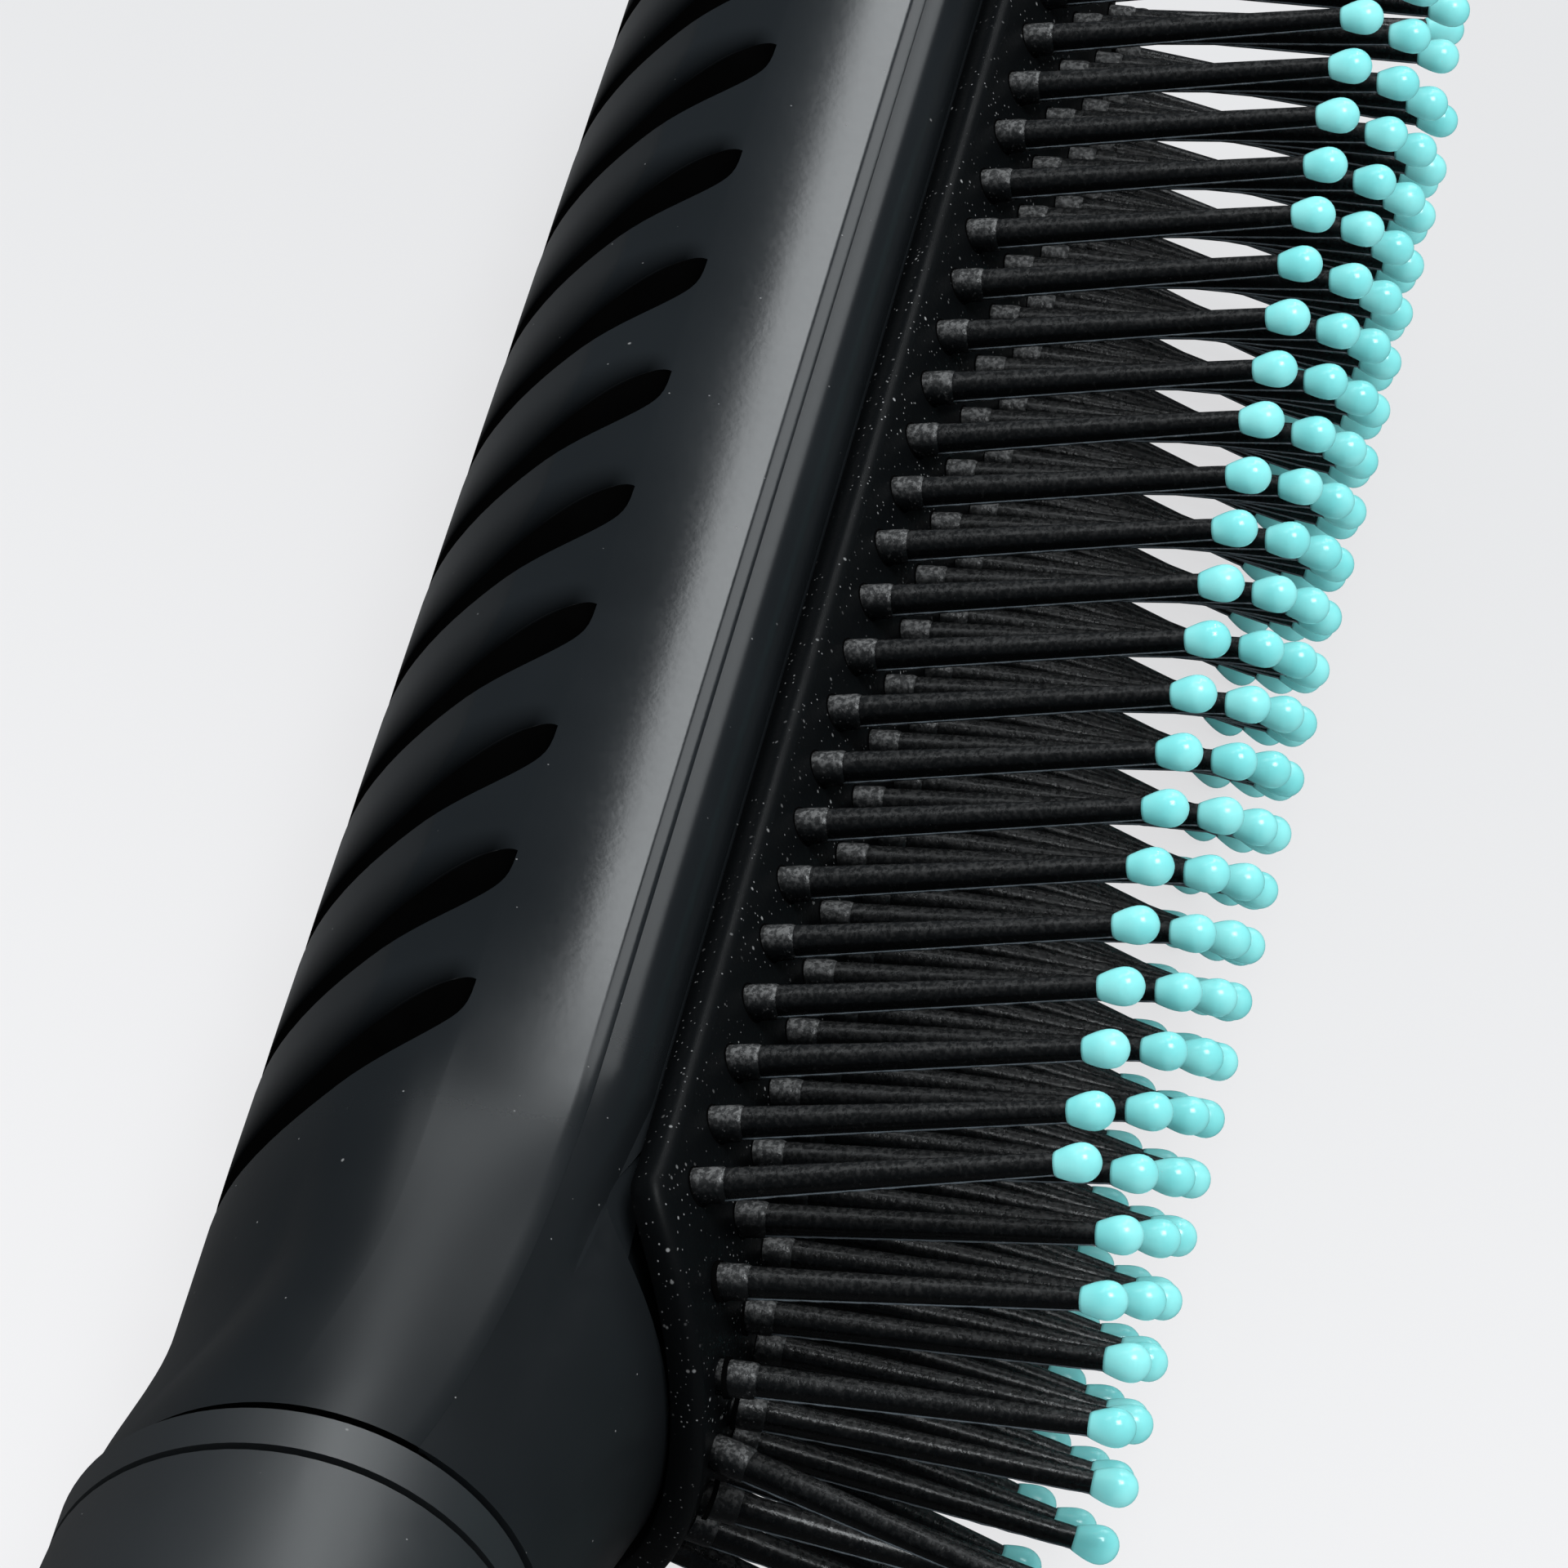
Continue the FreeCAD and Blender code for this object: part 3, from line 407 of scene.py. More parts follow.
def turned(name, profile, segments):
    """A mesh turned about z from (radius, height) pairs."""
    bm = bmesh.new()
    rings = []
    # upper holds the painted sheen: how far each vertex faces UPPER_ANGLE round the pin
    upper = bm.verts.layers.float.new("upper")
    for radius, height in profile:
        if radius < 1e-6:
            rings.append([bm.verts.new((0.0, 0.0, height * MM))])
            continue
        ring = []
        for i in range(segments):
            angle = 2.0 * math.pi * i / segments
            r = radius * MM
            vertex = bm.verts.new((r * math.cos(angle), r * math.sin(angle), height * MM))
            vertex[upper] = max(0.0, math.cos(angle - UPPER_ANGLE)) ** UPPER_POWER
            ring.append(vertex)
        rings.append(ring)
    for low, high in zip(rings, rings[1:]):
        for i in range(segments):
            j = (i + 1) % segments
            if len(low) == 1:
                bm.faces.new((low[0], high[j], high[i]))
            elif len(high) == 1:
                bm.faces.new((low[i], low[j], high[0]))
            else:
                bm.faces.new((low[i], low[j], high[j], high[i]))
    return closed_mesh(bm, name)


def ball(radius, height, start, end, steps):
    """Points of an arc about (0, height), by angle over the horizontal in degrees."""
    points = []
    for i in range(steps):
        angle = math.radians(start + (end - start) * i / (steps - 1))
        points.append((radius * math.cos(angle), height + radius * math.sin(angle)))
    return points


def pin_mesh():
    """A tapered pin with a ball end, from below the plate's surface up."""
    profile = [
        (0.0, -0.2),
        (PIN_ROOT - 0.02, -0.2),
        (PIN_ROOT - 0.01, COLLAR_HEIGHT + 0.30),
        *PIN_TAPER,
        (PIN_NECK + 0.01, PIN_REACH - 1.6),
        (PIN_NECK - 0.02, PIN_REACH - 0.75),
    ]
    profile += ball(BALL_RADIUS, PIN_REACH, -40.0, 90.0, 6)
    return turned("pin", profile, 20)


def root_mesh():
    """The short collar that a pin stands on."""
    profile = [
        (0.0, -0.6),
        (COLLAR_RADIUS - 0.02, -0.6),
        (COLLAR_RADIUS, 0.15),
        (COLLAR_RADIUS, COLLAR_HEIGHT - 0.22),
        (COLLAR_RADIUS - 0.02, COLLAR_HEIGHT - 0.08),
        (PIN_ROOT - 0.01, COLLAR_HEIGHT + 0.06),
        (PIN_ROOT - 0.05, COLLAR_HEIGHT + 0.10),
    ]
    return turned("root", profile, 24)


def flash_mesh():
    """Thin line of moulding flash along a pin, on the side towards the handle."""
    bm = bmesh.new()
    way = Vector((math.cos(FLASH_ANGLE), math.sin(FLASH_ANGLE), 0.0))
    wide = Vector((-way.y, way.x, 0.0)) * FLASH_HALF_WIDTH
    rings = []
    for i in range(FLASH_STEPS + 1):
        t = i / FLASH_STEPS
        height = blend(COLLAR_HEIGHT, PIN_REACH - 0.9, t)
        radius = blend(PIN_ROOT, PIN_NECK, t) - 0.02
        rise = FLASH_RISE + FLASH_WAVE * math.sin(i * 2.7)
        foot = way * radius
        tip = way * (radius + rise)
        up = Vector((0.0, 0.0, height))
        rings.append([bm.verts.new((p + up) * MM) for p in (foot - wide, tip, foot + wide)])
    for low, high in zip(rings, rings[1:]):
        for k in range(3):
            bm.faces.new((low[k], low[(k + 1) % 3], high[(k + 1) % 3], high[k]))
    bm.faces.new(rings[0])
    bm.faces.new(rings[-1])
    return closed_mesh(bm, "flash")


def coat_mesh():
    """The dipped coating: a short tail along the pin that swells into the ball."""
    tail = PIN_REACH - COAT_TAIL
    profile = [(PIN_NECK - 0.06, tail + 0.02), (PIN_NECK + 0.03, tail)]
    for share in (0.12, 0.3, 0.5, 0.7, 0.88):
        bulge = math.sin(share * math.pi / 2.0) ** 1.15
        radius = PIN_NECK + 0.05 + (COAT_RADIUS - PIN_NECK - 0.05) * bulge
        profile.append((radius, PIN_REACH - COAT_TAIL * (1.0 - share)))
    profile += ball(COAT_RADIUS, PIN_REACH, 0.0, 90.0, 8)
    return turned("coat", profile, 24)


def shadow_disc_mesh():
    """A thin dark disc round a pin's foot, just above the plate: a painted shadow."""
    profile = [(0.0, 0.012), (COLLAR_RADIUS + 0.10, 0.012), (COLLAR_RADIUS + 0.11, -0.2)]
    return turned("gap", profile, 20)


def row_tree():
    """Copies one piece along a line, each copy leaned a little by chance."""
    tree = bpy.data.node_groups.new("row_of_pins", "GeometryNodeTree")
    for name, kind in (("Count", "Int"), ("Pitch", "Float"), ("Piece", "Object"),
                       ("Finish", "Material"), ("Lean", "Float"), ("Seed", "Int")):
        tree.interface.new_socket(name, in_out="INPUT", socket_type="NodeSocket" + kind)
    tree.interface.new_socket("Geometry", in_out="OUTPUT", socket_type="NodeSocketGeometry")
    nodes, link = tree.nodes, tree.links.new
    given = nodes.new("NodeGroupInput").outputs
    line = nodes.new("GeometryNodeMeshLine")
    step = nodes.new("ShaderNodeCombineXYZ")
    link(given["Pitch"], step.inputs["X"])
    link(given["Count"], line.inputs["Count"])
    link(step.outputs[0], line.inputs["Offset"])

    # the lean: a random turn about x and y, between minus and plus the input
    minus = nodes.new("ShaderNodeMath")
    minus.operation = "MULTIPLY"
    minus.inputs[1].default_value = -1.0
    link(given["Lean"], minus.inputs[0])
    low = nodes.new("ShaderNodeCombineXYZ")
    high = nodes.new("ShaderNodeCombineXYZ")
    for axis in "XY":
        link(minus.outputs[0], low.inputs[axis])
        link(given["Lean"], high.inputs[axis])
    lean = nodes.new("FunctionNodeRandomValue")
    lean.data_type = "FLOAT_VECTOR"
    link(low.outputs[0], lean.inputs[0])
    link(high.outputs[0], lean.inputs[1])
    link(given["Seed"], lean.inputs["Seed"])

    piece = nodes.new("GeometryNodeObjectInfo")
    link(given["Piece"], piece.inputs["Object"])
    copies = nodes.new("GeometryNodeInstanceOnPoints")
    link(line.outputs["Mesh"], copies.inputs["Points"])
    link(piece.outputs["Geometry"], copies.inputs["Instance"])
    link(lean.outputs[0], copies.inputs["Rotation"])
    solid = nodes.new("GeometryNodeRealizeInstances")
    finish = nodes.new("GeometryNodeSetMaterial")
    link(copies.outputs[0], solid.inputs[0])
    link(solid.outputs[0], finish.inputs["Geometry"])
    link(given["Finish"], finish.inputs["Material"])
    link(finish.outputs[0], nodes.new("NodeGroupOutput").inputs[0])
    return tree


ROW_TREE = row_tree()


def grown(name, place, **values):
    """Runs the row tree once with these inputs and returns the plain mesh, moved to its place."""
    host = bpy.data.objects.new(name + "_host", bpy.data.meshes.new(name + "_host"))
    bpy.context.collection.objects.link(host)
    modifier = host.modifiers.new("row", "NODES")
    modifier.node_group = ROW_TREE
    for item in ROW_TREE.interface.items_tree:
        if item.in_out == "INPUT":
            modifier[item.identifier] = values[item.name.lower()]
    result = host.evaluated_get(bpy.context.evaluated_depsgraph_get())
    mesh = bpy.data.meshes.new_from_object(result)
    host.modifiers.remove(modifier)
    bpy.data.objects.remove(host)
    mesh.name = name
    mesh.transform(place)
    return mesh


def source(mesh):
    """An object that the tree copies from. pin_rows removes it afterwards."""
    thing = bpy.data.objects.new(mesh.name + "_source", mesh)
    bpy.context.collection.objects.link(thing)
    return thing


def piece_of(name, mesh, slot, *nodes):
    """Puts a finished mesh into the scene as a piece that rides on the brush."""
    thing = bpy.data.objects.new(name, mesh)
    bpy.context.collection.objects.link(thing)
    if nodes:
        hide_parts(*nodes)
    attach(thing, "root")
    return thing


def row_start(row):
    """First pin of a row, and how many pins it has."""
    away = abs(row - MIDDLE_ROW)
    steps = ROWS - MIDDLE_ROW - max(away, 1) - (1 if away == 0 else 0)
    start = FIRST_PIN - steps * PIN_PITCH / 2.0
    return start, int(round(2.0 * (HEAD_MIDDLE - start) / PIN_PITCH)) + 1


def plate_place(row, x):
    """Place on the plate's surface in line with a row, z standing square on the surface."""
    angle = (row - MIDDLE_ROW) * ROW_ANGLE
    spot = Vector((x, -PLATE_RADIUS * math.sin(angle), PLATE_CENTRE + PLATE_RADIUS * math.cos(angle)))
    return BRUSH @ Matrix.Translation(spot * MM) @ Matrix.Rotation(angle, 4, "X")


def joined(groups, name):
    """One mesh of several. groups pairs each finish with its meshes."""
    bm = bmesh.new()
    out = bpy.data.meshes.new(name)
    for number, (finish, meshes) in enumerate(groups):
        done = len(bm.faces)
        for mesh in meshes:
            bm.from_mesh(mesh)
            bpy.data.meshes.remove(mesh)
        bm.faces.ensure_lookup_table()
        for face in bm.faces[done:]:
            face.material_index = number
            face.smooth = True
        out.materials.append(finish)
    bm.to_mesh(out)
    bm.free()
    return out


def row_spots(row):
    """Where the pins of a row start, with their numbers. Some pins lean by themselves."""
    start, count = row_start(row)
    fan = Matrix.Rotation((row - MIDDLE_ROW) * (FAN_STEP - ROW_ANGLE), 4, "X")
    place = plate_place(row, start)
    if row == 1:
        bent = Matrix.Rotation(FIRST_PIN_LEAN, 4, "Y")
        one_on = Matrix.Translation((PIN_PITCH * MM, 0, 0))
        return [(place @ fan @ bent, 1), (place @ one_on @ fan, count - 1)]
    spots = [(place @ fan, count)]
    if row == MIDDLE_ROW:
        near = PLATE_END + END_PIN_INSET
        for x, way in ((near, -1.0), (2.0 * HEAD_MIDDLE - near, 1.0)):
            spots.append((plate_place(row, x) @ Matrix.Rotation(way * END_PIN_LEAN, 4, "Y"), 1))
    return spots


def pin_rows():
    """The rows of pins, their coatings, and the painted shadows round the pins' feet."""
    parts = {}
    for name, make, finish in (("stem", pin_mesh, NYLON), ("root", root_mesh, ROOT),
                               ("flash", flash_mesh, FLASH_HIGHLIGHT), ("coat", coat_mesh, TURQUOISE),
                               ("gap", shadow_disc_mesh, PAINTED_SHADOW)):
        parts[name] = (source(make()), finish)

    def copies(name, row, spots, lean):
        piece, finish = parts[name]
        shared = {"piece": piece, "finish": finish, "lean": lean, "pitch": PIN_PITCH * MM, "seed": row}
        return [grown(name, place, count=count, **shared) for place, count in spots]

    gaps = []
    for row in range(1, ROWS + 1):
        spots = row_spots(row)
        made = {}
        for name in ("stem", "root", "flash", "coat"):
            made[name] = copies(name, row, spots, CHANCE_LEAN)
        start, count = row_start(row)
        gaps += copies("gap", row, [(plate_place(row, start), count)], 0.0)
        nylon = [(NYLON, made["stem"]), (ROOT, made["root"]), (FLASH_HIGHLIGHT, made["flash"])]
        pins = joined(nylon, "nylon_pins")
        piece_of("nylon_pins_%d" % row, pins, "pins_black", "pin_row_%d" % row)
        tips = joined([(TURQUOISE, made["coat"])], "dipped_tips")
        piece_of("dipped_tips_%d" % row, tips, "tips_turquoise", "tip_coats_row_%d" % row)
    piece_of("pin_hole_shadows", joined([(PAINTED_SHADOW, gaps)], "gaps"), "plate_black")
    for piece, finish in parts.values():
        bpy.data.objects.remove(piece)


def on_plate(x, y, sink):
    """Point under or on the plate's curved surface. sink is measured square to it."""
    radius = PLATE_RADIUS - sink
    angle = math.asin(y / PLATE_RADIUS)
    z = PLATE_CENTRE + radius * math.cos(angle)
    side = radius * math.sin(angle)
    bend = PLATE_END + PLATE_BEND_INSET
    far = 2.0 * HEAD_MIDDLE - bend
    over = max(bend - x, x - far, 0.0)
    if over:
        pivot = PLATE_CREST - PLATE_BEND_RADIUS
        arm = z - pivot
        turn = over / PLATE_BEND_RADIUS
        shift = arm * math.sin(turn)
        z = pivot + arm * math.cos(turn)
        x = bend - shift if x < bend else far + shift
    return Vector((x, side, z)) * MM


def plate_mesh():
    """The plate as one closed skin: top, rounded edge, straight wall and underside."""
    bm = bmesh.new()

    def ring(inset, sink):
        """Edge loop of the outline drawn in by inset and lowered by sink."""
        half = PLATE_HALF - inset
        spots = []
        for i in range(ACROSS + 1):
            angle = math.pi * (i / ACROSS - 0.5)
            x = PLATE_END + inset + PLATE_END_DEPTH * (1.0 - math.cos(angle))
            spots.append((x, half * math.sin(angle)))
        mirrored = [(2.0 * HEAD_MIDDLE - x, y) for x, y in reversed(spots)]
        x0, x1 = spots[-1][0], mirrored[0][0]
        step = (x1 - x0) / ALONG
        loop = spots + [(x0 + step * i, half) for i in range(1, ALONG)]
        loop += mirrored + [(x1 - step * i, -half) for i in range(1, ALONG)]
        return [bm.verts.new(on_plate(x, y, sink)) for x, y in loop]

    edge = PLATE_EDGE_ROUND
    levels = []
    for i in range(6):
        angle = math.pi / 2.0 * i / 5.0
        levels.append((edge * (1.0 - math.sin(angle)), edge * (1.0 - math.cos(angle))))
    levels += [(0.0, PLATE_THICKNESS - 0.1), (0.1, PLATE_THICKNESS)]
    loops = [ring(inset, sink) for inset, sink in levels]
    for upper, lower in zip(loops, loops[1:]):
        for i in range(len(upper)):
            j = (i + 1) % len(upper)
            bm.faces.new((upper[i], upper[j], lower[j], lower[i]))

    # top and underside: lines across the plate, from one long side to the other
    top = (loops[0], edge, 0.0, False)
    underside = (loops[-1], 0.1, PLATE_THICKNESS, True)
    for loop, inset, sink, flip in (top, underside):
        near = loop[:ACROSS + 1]
        far = loop[ACROSS + ALONG:2 * ACROSS + ALONG + 1]
        low_side = [loop[0]] + [loop[-i] for i in range(1, ALONG)] + [far[-1]]
        high_side = loop[ACROSS:ACROSS + ALONG + 1]
        lines = [near]
        for a, b in zip(low_side[1:-1], high_side[1:-1]):
            inner = []
            for k in range(1, ACROSS):
                y = (PLATE_HALF - inset) * math.sin(math.pi * (k / ACROSS - 0.5))
                inner.append(bm.verts.new(on_plate(a.co.x / MM, y, sink)))
            lines.append([a] + inner + [b])
        lines.append(list(reversed(far)))
        for one, two in zip(lines, lines[1:]):
            for k in range(ACROSS):
                corners = (one[k], two[k], two[k + 1], one[k + 1])
                bm.faces.new(corners if not flip else tuple(reversed(corners)))
    bmesh.ops.remove_doubles(bm, verts=bm.verts, dist=1e-7)
    mesh = closed_mesh(bm, "plate")
    mesh.transform(BRUSH)
    mesh.materials.append(PLATE)
    return mesh


def full_section(v):
    """Half of the barrel's section: v runs from 0 at the middle of the back to SEAM_V at the seam."""
    side_y = HALF_WIDTH - SIDE_RADIUS
    drop = BACK_Z - WIDEST_Z
    back = (SIDE_RADIUS ** 2 - side_y ** 2 - drop ** 2) / (2.0 * (drop + SIDE_RADIUS))
    back_z = BACK_Z + back
    joint = math.atan2(WIDEST_Z - back_z, side_y)
    rise, inward = SEAM_Z - WIDEST_Z, HALF_WIDTH - SEAM_Y
    upper = (inward ** 2 + rise ** 2) / (2.0 * inward)
    if v < BACK_V:
        y, z, radius = 0.0, back_z, back
        angle = blend(-math.pi / 2.0, joint, v / BACK_V)
    elif v < SIDE_V:
        y, z, radius = side_y, WIDEST_Z, SIDE_RADIUS
        angle = blend(joint, 0.0, (v - BACK_V) / (SIDE_V - BACK_V))
    else:
        y, z, radius = HALF_WIDTH - upper, WIDEST_Z, upper
        angle = blend(0.0, math.asin(rise / upper), (v - SIDE_V) / (SEAM_V - SIDE_V))
    return y + radius * math.cos(angle), z + radius * math.sin(angle)


def shell_section(x, v):
    """The same half section at any place along the head."""
    y, z = full_section(v)
    nose_start = SHELL_END - NOSE_LENGTH
    if x < STRAIGHT_X:
        share = (STRAIGHT_X - x) / (STRAIGHT_X - NECK_X)
        angle = blend(-math.pi / 2.0, math.asin(SEAM_NECK_Z / NECK_RADIUS), v / SEAM_V)
        neck_y, neck_z = NECK_RADIUS * math.cos(angle), NECK_RADIUS * math.sin(angle)
        if neck_z < 0.0:
            neck_z *= 1.0 - NECK_BACK_STEP / NECK_RADIUS
        lower = ease((x - NECK_X) / (BACK_X - NECK_X))
        y = blend(neck_y, y, ease(1.0 - share))
        z = blend(neck_z, z, blend(lower, 1.0 - share ** 2, v / SEAM_V))
    elif x > nose_start:
        last = (1.0 - NOSE_FLAT ** NOSE_POWER) ** (1.0 / NOSE_POWER)
        at = last * (x - nose_start) / NOSE_LENGTH
        share = (1.0 - at ** NOSE_POWER) ** (1.0 / NOSE_POWER)
        y, z = y * share, SEAM_Z - (SEAM_Z - z) * share
    return y, z


def across(y, z):
    """Where a place on the section lies in the plane that faces the slanted louvres."""
    return (y + z) * math.sqrt(0.5)


def section_rows():
    """Places v along the half section, close together at the louvres' ends, and where louvres end."""
    fine = [i / 100.0 for i in range(1001)]
    spread = [across(*full_section(v)) for v in fine]
    wanted = [LOUVRE_END * (1.0 - (i / END_ROWS) ** 2.2) for i in range(END_ROWS + 1)]
    wanted += [spread[0] * i / BACK_ROWS for i in range(1, BACK_ROWS + 1)]
    wanted += [blend(LOUVRE_END, spread[-1], i / BELT_ROWS) for i in range(1, BELT_ROWS + 1)]
    rows = sorted(float(np.interp(at, spread, fine)) for at in wanted)
    closed = float(np.interp(LOUVRE_END, spread, fine))
    return rows, closed


def louvre_edge(number, v, closed, far):
    """x of a louvre's edge at row v, and how far open the louvre is there."""
    at = FIRST_LOUVRE + number * LOUVRE_PITCH
    if v >= closed - 1e-9:
        return at - LOUVRE_TIP, 0.0
    x = at - LOUVRE_SWEEP
    for _ in range(4):
        u = max(0.0, min(1.0, across(*shell_section(x, v)) / LOUVRE_END))
        opening = 1.0 - u ** LOUVRE_CURVE
        if far:
            reach = (LOUVRE_SWEEP - LOUVRE_WIDTH) * opening
        else:
            reach = LOUVRE_SWEEP * opening ** LOUVRE_FULLNESS
        x = at - reach - LOUVRE_TIP * u ** LOUVRE_TIP_POWER
    return x, min(1.0, (1.0 - u) * 1.5)


def shell_point(x, v, side, sink, inner):
    """Place on the outer or the inner skin. sink lowers it square to the outer skin."""
    y, z = shell_section(x, v)
    step = 0.02
    low = shell_section(x, max(0.0, v - step))
    high = shell_section(x, min(SEAM_V, v + step))
    way = Vector((high[0] - low[0], high[1] - low[1])).normalized()
    out = Vector((way.y, -way.x))
    y -= out.x * sink
    z -= out.y * sink
    if inner:
        slant = Vector((1.0, -1.0)).normalized()
        slanted = min(1.0, max(0.0, across(y, z) / 3.0))
        way = (out.lerp(slant, slanted)).normalized()
        depth = (WALL - min(sink, WALL - LEAST_WALL)) / max(0.5, way.dot(out))
        y = max(0.0, y - way.x * depth)
        z -= way.y * depth
    return Vector((x, side * y, z)) * MM


def skin_columns(number, v, closed):
    """Columns of skin piece number at row v, as x and sink, and how open the louvre before it is."""
    if number == 0:
        stop, _ = louvre_edge(0, v, closed, False)
        return [(blend(NECK_X, stop, i / NECK_COLUMNS), 0.0) for i in range(NECK_COLUMNS + 1)], 0.0
    start, growth = louvre_edge(number - 1, v, closed, True)
    width = blend(ROLL_LEAST, ROLL_WIDTH, growth ** WIDTH_GROWTH)
    depth = ROLL_DEPTH * growth ** DEPTH_GROWTH * ease(v / closed)
    columns = []
    for t in ROLL_STEPS:
        columns.append((start + width * t, depth * (1.0 - math.sqrt(1.0 - (1.0 - t) ** 2))))
    base = columns[-1][0]
    if number == LOUVRES:
        stop = SHELL_END
        shares = [math.sin(i / NOSE_COLUMNS * math.pi / 2.0) for i in range(1, NOSE_COLUMNS + 1)]
    else:
        stop, _ = louvre_edge(number, v, closed, False)
        shares = [i / RIB_COLUMNS for i in range(1, RIB_COLUMNS + 1)]
    columns += [(blend(base, stop, share), 0.0) for share in shares]
    return columns, growth


def shell_mesh():
    """The louvred back shell as one closed skin, each rib rolled inwards along its handle side. Its
    inner skin and the louvres' walls are painted shadow black, and the ribs fade to painted shade along
    their rolls.
    """
    rows, closed = section_rows()
    rows = [(v, -1) for v in reversed(rows[1:])] + [(v, 1) for v in rows]
    bm = bmesh.new()
    # rolled holds painted shade: 1 where the roll is darkest, by the louvre's edge
    rolled = bm.verts.layers.float.new("rolled")

    def patch(number):
        """Outer and inner vertices of the skin between two louvres, row by row."""
        lines = []
        for v, side in rows:
            columns, growth = skin_columns(number, v, closed)
            outer = [bm.verts.new(shell_point(x, v, side, sink, False)) for x, sink in columns]
            if growth:
                for vertex, t in zip(outer, ROLL_STEPS):
                    vertex[rolled] = (1.0 - t) ** SHADE_FADE * min(1.0, SHADE_GROWTH * growth)
            inner = []
            for x, sink in columns:
                inner.append(bm.verts.new(shell_point(min(x, SHELL_END - WALL), v, side, sink, True)))
            lines.append((outer, inner))
        return lines

    patches = [patch(number) for number in range(LOUVRES + 1)]
    for number, lines in enumerate(patches):
        for row, (one, two) in enumerate(zip(lines, lines[1:])):
            for layer in (0, 1):
                a, b = one[layer], two[layer]
                for k in range(len(a) - 1):
                    bm.faces.new((a[k], a[k + 1], b[k + 1], b[k])).material_index = layer
            slotted = min(rows[row][0], rows[row + 1][0]) < closed - 1e-9
            for k in (0, -1):
                outside = (number == 0 and k == 0) or (number == LOUVRES and k == -1)
                if (slotted and not outside) or (number == 0 and k == 0):
                    bm.faces.new((one[0][k], two[0][k], two[1][k], one[1][k])).material_index = 1
        for outer, inner in (lines[0], lines[-1]):
            for k in range(len(outer) - 1):
                bm.faces.new((outer[k], outer[k + 1], inner[k + 1], inner[k]))
    last = patches[-1]
    for layer in (0, 1):
        bm.faces.new([line[layer][-1] for line in last])
    bm.faces.new((last[0][0][-1], last[-1][0][-1], last[-1][1][-1], last[0][1][-1]))
    bmesh.ops.remove_doubles(bm, verts=bm.verts, dist=2e-6)
    mesh = closed_mesh(bm, "louvred_back_shell", SHELL_CREASE)
    mesh.transform(BRUSH)
    mesh.materials.append(SHELL)
    # second finish: painted shadow on the inner skin and the louvres' walls
    mesh.materials.append(PAINTED_SHADOW)
    return mesh


def smooth_copy(node, finish, name, slot):
    """A merged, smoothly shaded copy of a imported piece."""
    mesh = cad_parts[node].data.copy()
    mesh.name = name
    bm = bmesh.new()
    bm.from_mesh(mesh)
    bmesh.ops.remove_doubles(bm, verts=bm.verts, dist=1e-6)
    smoothed(bm, CAD_CREASE)
    bm.to_mesh(mesh)
    bm.free()
    mesh.materials.clear()
    mesh.materials.append(finish)
    return piece_of(name, mesh, slot, node)


pin_rows()
piece_of("curved_pin_plate", plate_mesh(), "plate_black", "pin_plate")
piece_of("louvred_back_shell", shell_mesh(), "shell_black", "back_shell")
smooth_copy("front_frame", FRAME, "front_frame_body", "frame_black")
smooth_copy("neck_collar", COLLAR, "neck_ring", "collar_black")
smooth_copy("handle_grip", GRIP, "grip_sleeve", "grip_black")
smooth_copy("handle_end_cap", CAP, "grip_end_cap", "cap_black")
smooth_copy("handle_core", CORE, "core_rod", "core_dark")


# Stage, camera and light

PALE = (0.885, 0.88, 0.89, 1.0)
PALE_FAR = (0.735, 0.735, 0.745, 1.0)
FLOOR_HALF = 6.0
FLOOR_GREY = (0.80, 0.81, 0.82, 1.0)
SKY_LIGHT, SKY_STRENGTH = (0.95, 0.98, 1.0, 1.0), 0.55
LAMP_LIGHT = (0.94, 0.98, 1.0)
LAMP_DISTANCE = 1.0

# Where the floor's tone starts to darken and where it is darkest: x of the scene, in metres
FADE_STARTS, FADE_ENDS = -0.03, 0.16

# What the brush reflects of the floor and the sky, and how much of each ray sees the floor's glow
FLOOR_REFLECTED = (0.055, 0.056, 0.058, 1.0)
SKY_REFLECTED = (0.064, 0.078, 0.092, 1.0)
GLOSSY_SHARE, CAMERA_SHARE = 0.96, 0.86

# The camera, in the brush's frame: where it stands and which way it looks
CAMERA_AT = Vector((-304.8, 309.5, 44.9))
CAMERA_RIGHT = Vector((0.183, 0.105, 0.978))
CAMERA_UP = Vector((0.624, 0.756, -0.198))
FOCAL_PIXELS, PHOTO_PIXELS, SENSOR = 12965.0, 1920.0, 36.0

# The spot on the head that all lamps face
HEAD_SPOT = BRUSH @ (Vector((35.0, 0.0, 5.0)) * MM)


def shown_to(tree, ray, share, below, above):
    """Shows rays of one kind the shader above, by share, and all other rays the one below."""
    path = tree.nodes.new("ShaderNodeLightPath")
    part = tree.nodes.new("ShaderNodeMath")
    part.operation = "MULTIPLY"
    part.inputs[1].default_value = share
    both = tree.nodes.new("ShaderNodeMixShader")
    tree.links.new(path.outputs[ray], part.inputs[0])
    tree.links.new(part.outputs[0], both.inputs[0])
    tree.links.new(below.outputs[0], both.inputs[1])
    tree.links.new(above.outputs[0], both.inputs[2])
    return both


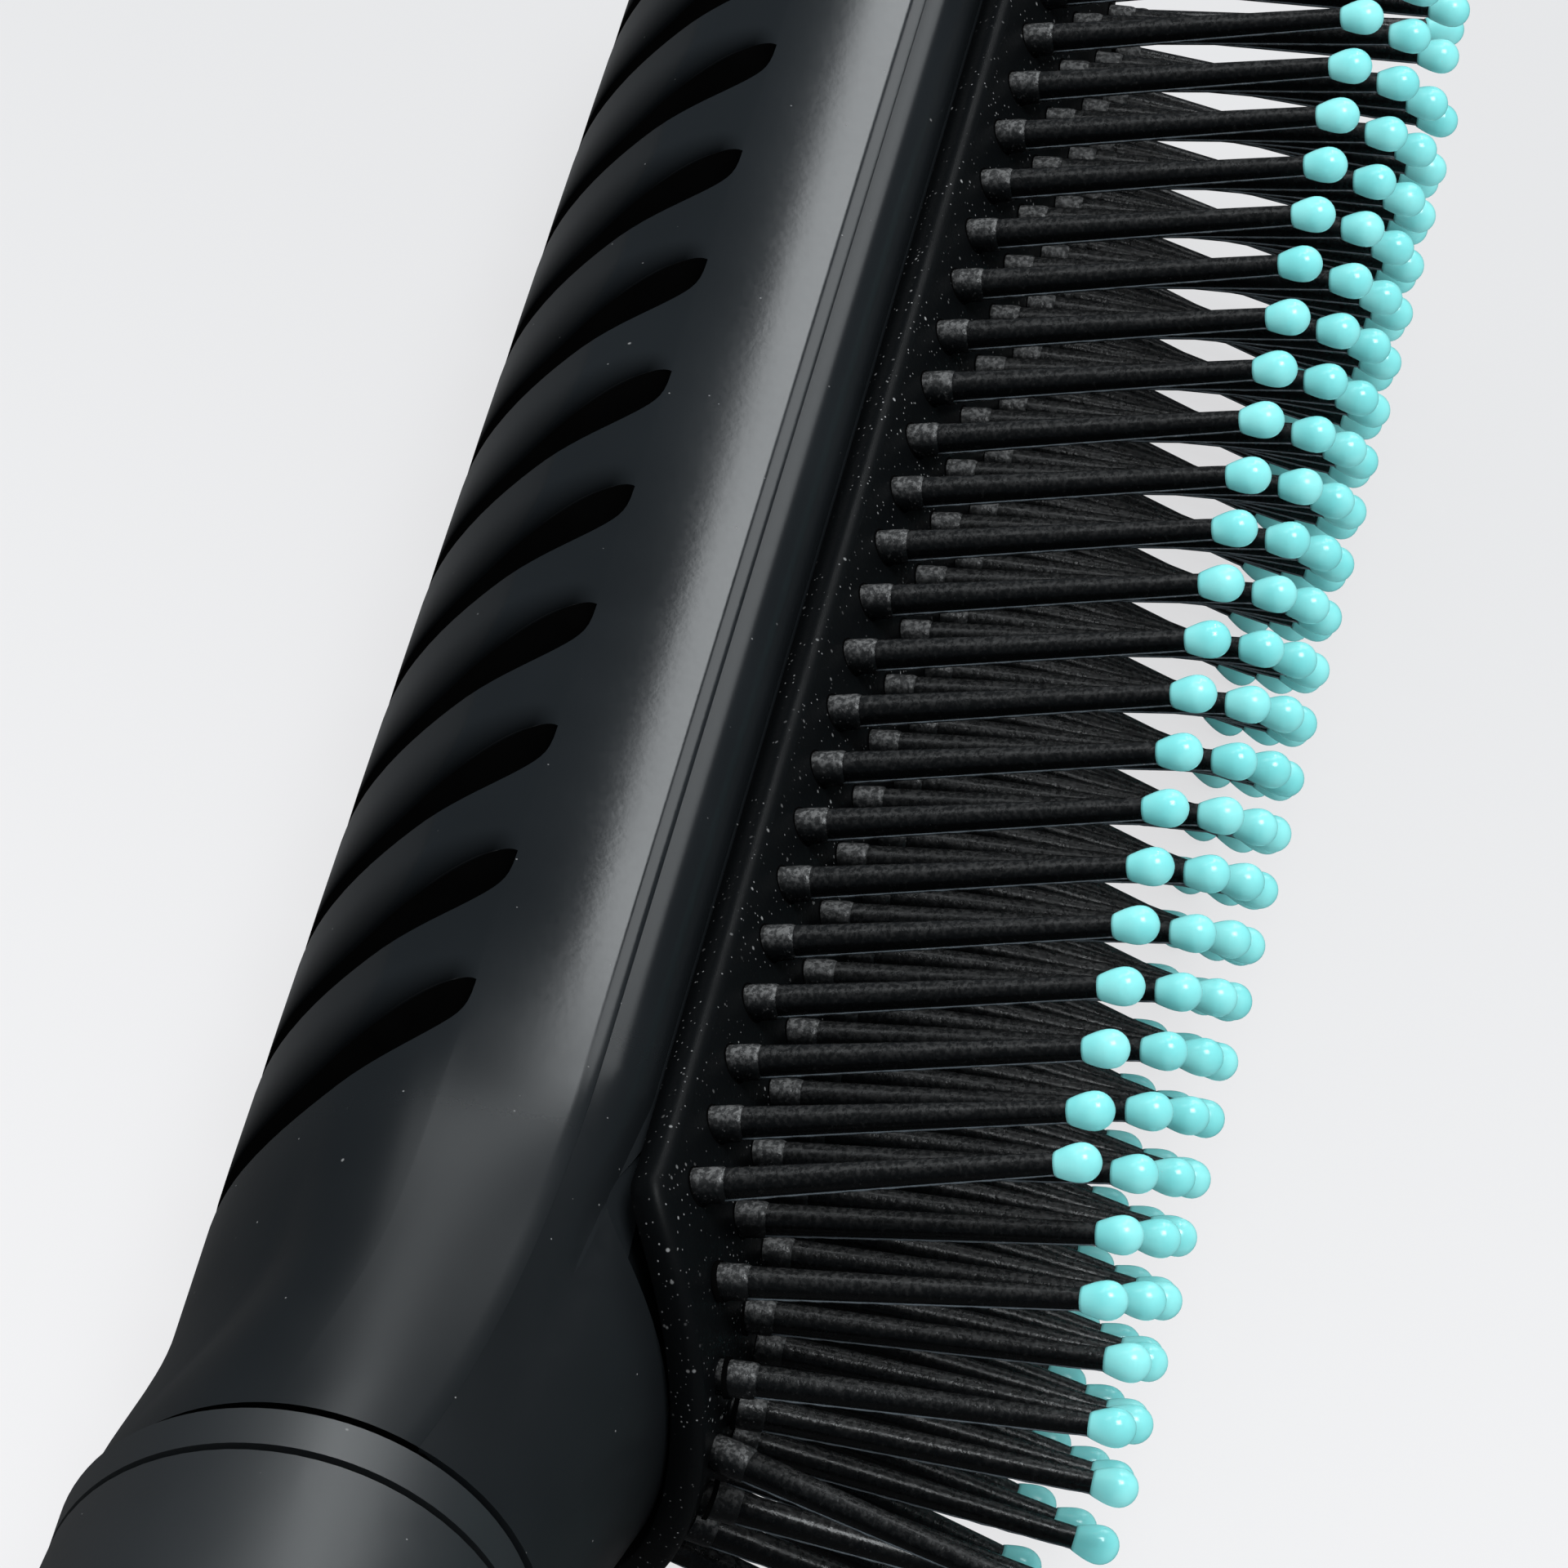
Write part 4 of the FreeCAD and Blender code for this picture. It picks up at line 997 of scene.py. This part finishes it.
def floor_tone(tree):
    """The floor's pale tone, a little darker far to the right. Returns the node that mixes it."""
    where = tree.nodes.new("ShaderNodeTexCoord")
    apart = tree.nodes.new("ShaderNodeSeparateXYZ")
    fade = tree.nodes.new("ShaderNodeMapRange")
    fade.interpolation_type = "SMOOTHSTEP"
    fade.inputs["From Min"].default_value = FADE_STARTS
    fade.inputs["From Max"].default_value = FADE_ENDS
    tone = tree.nodes.new("ShaderNodeMix")
    tone.data_type = "RGBA"
    tone.inputs[6].default_value = PALE
    tone.inputs[7].default_value = PALE_FAR
    tree.links.new(where.outputs["Object"], apart.inputs[0])
    tree.links.new(apart.outputs["X"], fade.inputs["Value"])
    tree.links.new(fade.outputs[0], tone.inputs[0])
    return tone


def lit_floor():
    """Pale floor: the camera sees mostly its own tone, so shadows stay faint and soft."""
    mesh = bpy.data.meshes.new("floor")
    low = first_bounds[0].z
    corners = [(FLOOR_HALF * a, FLOOR_HALF * b, low) for a, b in ((-1, -1), (1, -1), (1, 1), (-1, 1))]
    mesh.from_pydata(corners, [], [(0, 1, 2, 3)])
    floor = bpy.data.objects.new("floor", mesh)
    bpy.context.collection.objects.link(floor)
    material = bpy.data.materials.new("pale_floor")
    material.use_nodes = True
    tree = material.node_tree
    base = tree.nodes["Principled BSDF"]
    base.inputs["Base Color"].default_value = FLOOR_GREY
    base.inputs["Roughness"].default_value = 0.9
    base.inputs["Specular IOR Level"].default_value = 0.0
    reflected = tree.nodes.new("ShaderNodeEmission")
    reflected.inputs["Color"].default_value = FLOOR_REFLECTED
    glow = tree.nodes.new("ShaderNodeEmission")
    tree.links.new(floor_tone(tree).outputs[2], glow.inputs["Color"])
    both = shown_to(tree, "Is Glossy Ray", GLOSSY_SHARE, base, reflected)
    both = shown_to(tree, "Is Camera Ray", CAMERA_SHARE, both, glow)
    tree.links.new(both.outputs[0], tree.nodes["Material Output"].inputs["Surface"])
    mesh.materials.append(material)


def sky():
    """A pale studio all round, which the brush reflects as a dark one."""
    world = bpy.data.worlds.new("pale_studio")
    bpy.context.scene.world = world
    world.use_nodes = True
    tree = world.node_tree
    both = tree.nodes["Background"]
    both.inputs["Color"].default_value = SKY_LIGHT
    both.inputs["Strength"].default_value = SKY_STRENGTH
    for ray, colour in (("Is Glossy Ray", SKY_REFLECTED), ("Is Camera Ray", PALE)):
        seen = tree.nodes.new("ShaderNodeBackground")
        seen.inputs["Color"].default_value = colour
        both = shown_to(tree, ray, 1.0, both, seen)
    tree.links.new(both.outputs[0], tree.nodes["World Output"].inputs["Surface"])


def softbox(name, way, width, height, power):
    """An area light that faces the head from a direction."""
    lamp = bpy.data.lights.new(name, "AREA")
    lamp.shape = "RECTANGLE"
    lamp.size = width
    lamp.size_y = height
    lamp.energy = power
    lamp.color = LAMP_LIGHT
    thing = bpy.data.objects.new(name, lamp)
    way = Vector(way).normalized()
    thing.location = HEAD_SPOT + way * LAMP_DISTANCE
    thing.rotation_euler = way.to_track_quat("Z", "Y").to_euler()
    bpy.context.collection.objects.link(thing)


def camera():
    """The photo's camera, with a long lens and no depth of field."""
    lens = bpy.data.cameras.new("camera")
    lens.sensor_width = SENSOR
    lens.lens = FOCAL_PIXELS / PHOTO_PIXELS * SENSOR
    lens.clip_start = 0.02
    lens.clip_end = 20.0
    right = CAMERA_RIGHT.normalized()
    back = right.cross(CAMERA_UP).normalized()
    up = back.cross(right)
    turn = Matrix((right, up, back)).transposed().to_4x4()
    thing = bpy.data.objects.new("camera", lens)
    thing.matrix_world = BRUSH @ Matrix.Translation(CAMERA_AT * MM) @ turn
    bpy.context.collection.objects.link(thing)
    bpy.context.scene.camera = thing


lit_floor()
sky()
camera()
softbox("far_strip", (0.76, 0.036, 0.65), 0.08, 0.40, 0.72)
softbox("cheek_strip", (0.76, -0.20, 0.60), 0.26, 0.40, 0.90)
softbox("neck_softbox", (0.56, 0.01, 0.83), 0.10, 0.22, 0.50)
softbox("high_softbox", (0.37, 0.21, 0.90), 0.28, 0.20, 0.88)
softbox("left_softbox", (0.22, 0.52, 0.82), 0.50, 0.14, 0.65)
softbox("overhead_softbox", (-0.20, -0.10, 0.97), 0.40, 0.40, 8.0)
bpy.context.scene.view_settings.view_transform = "Standard"
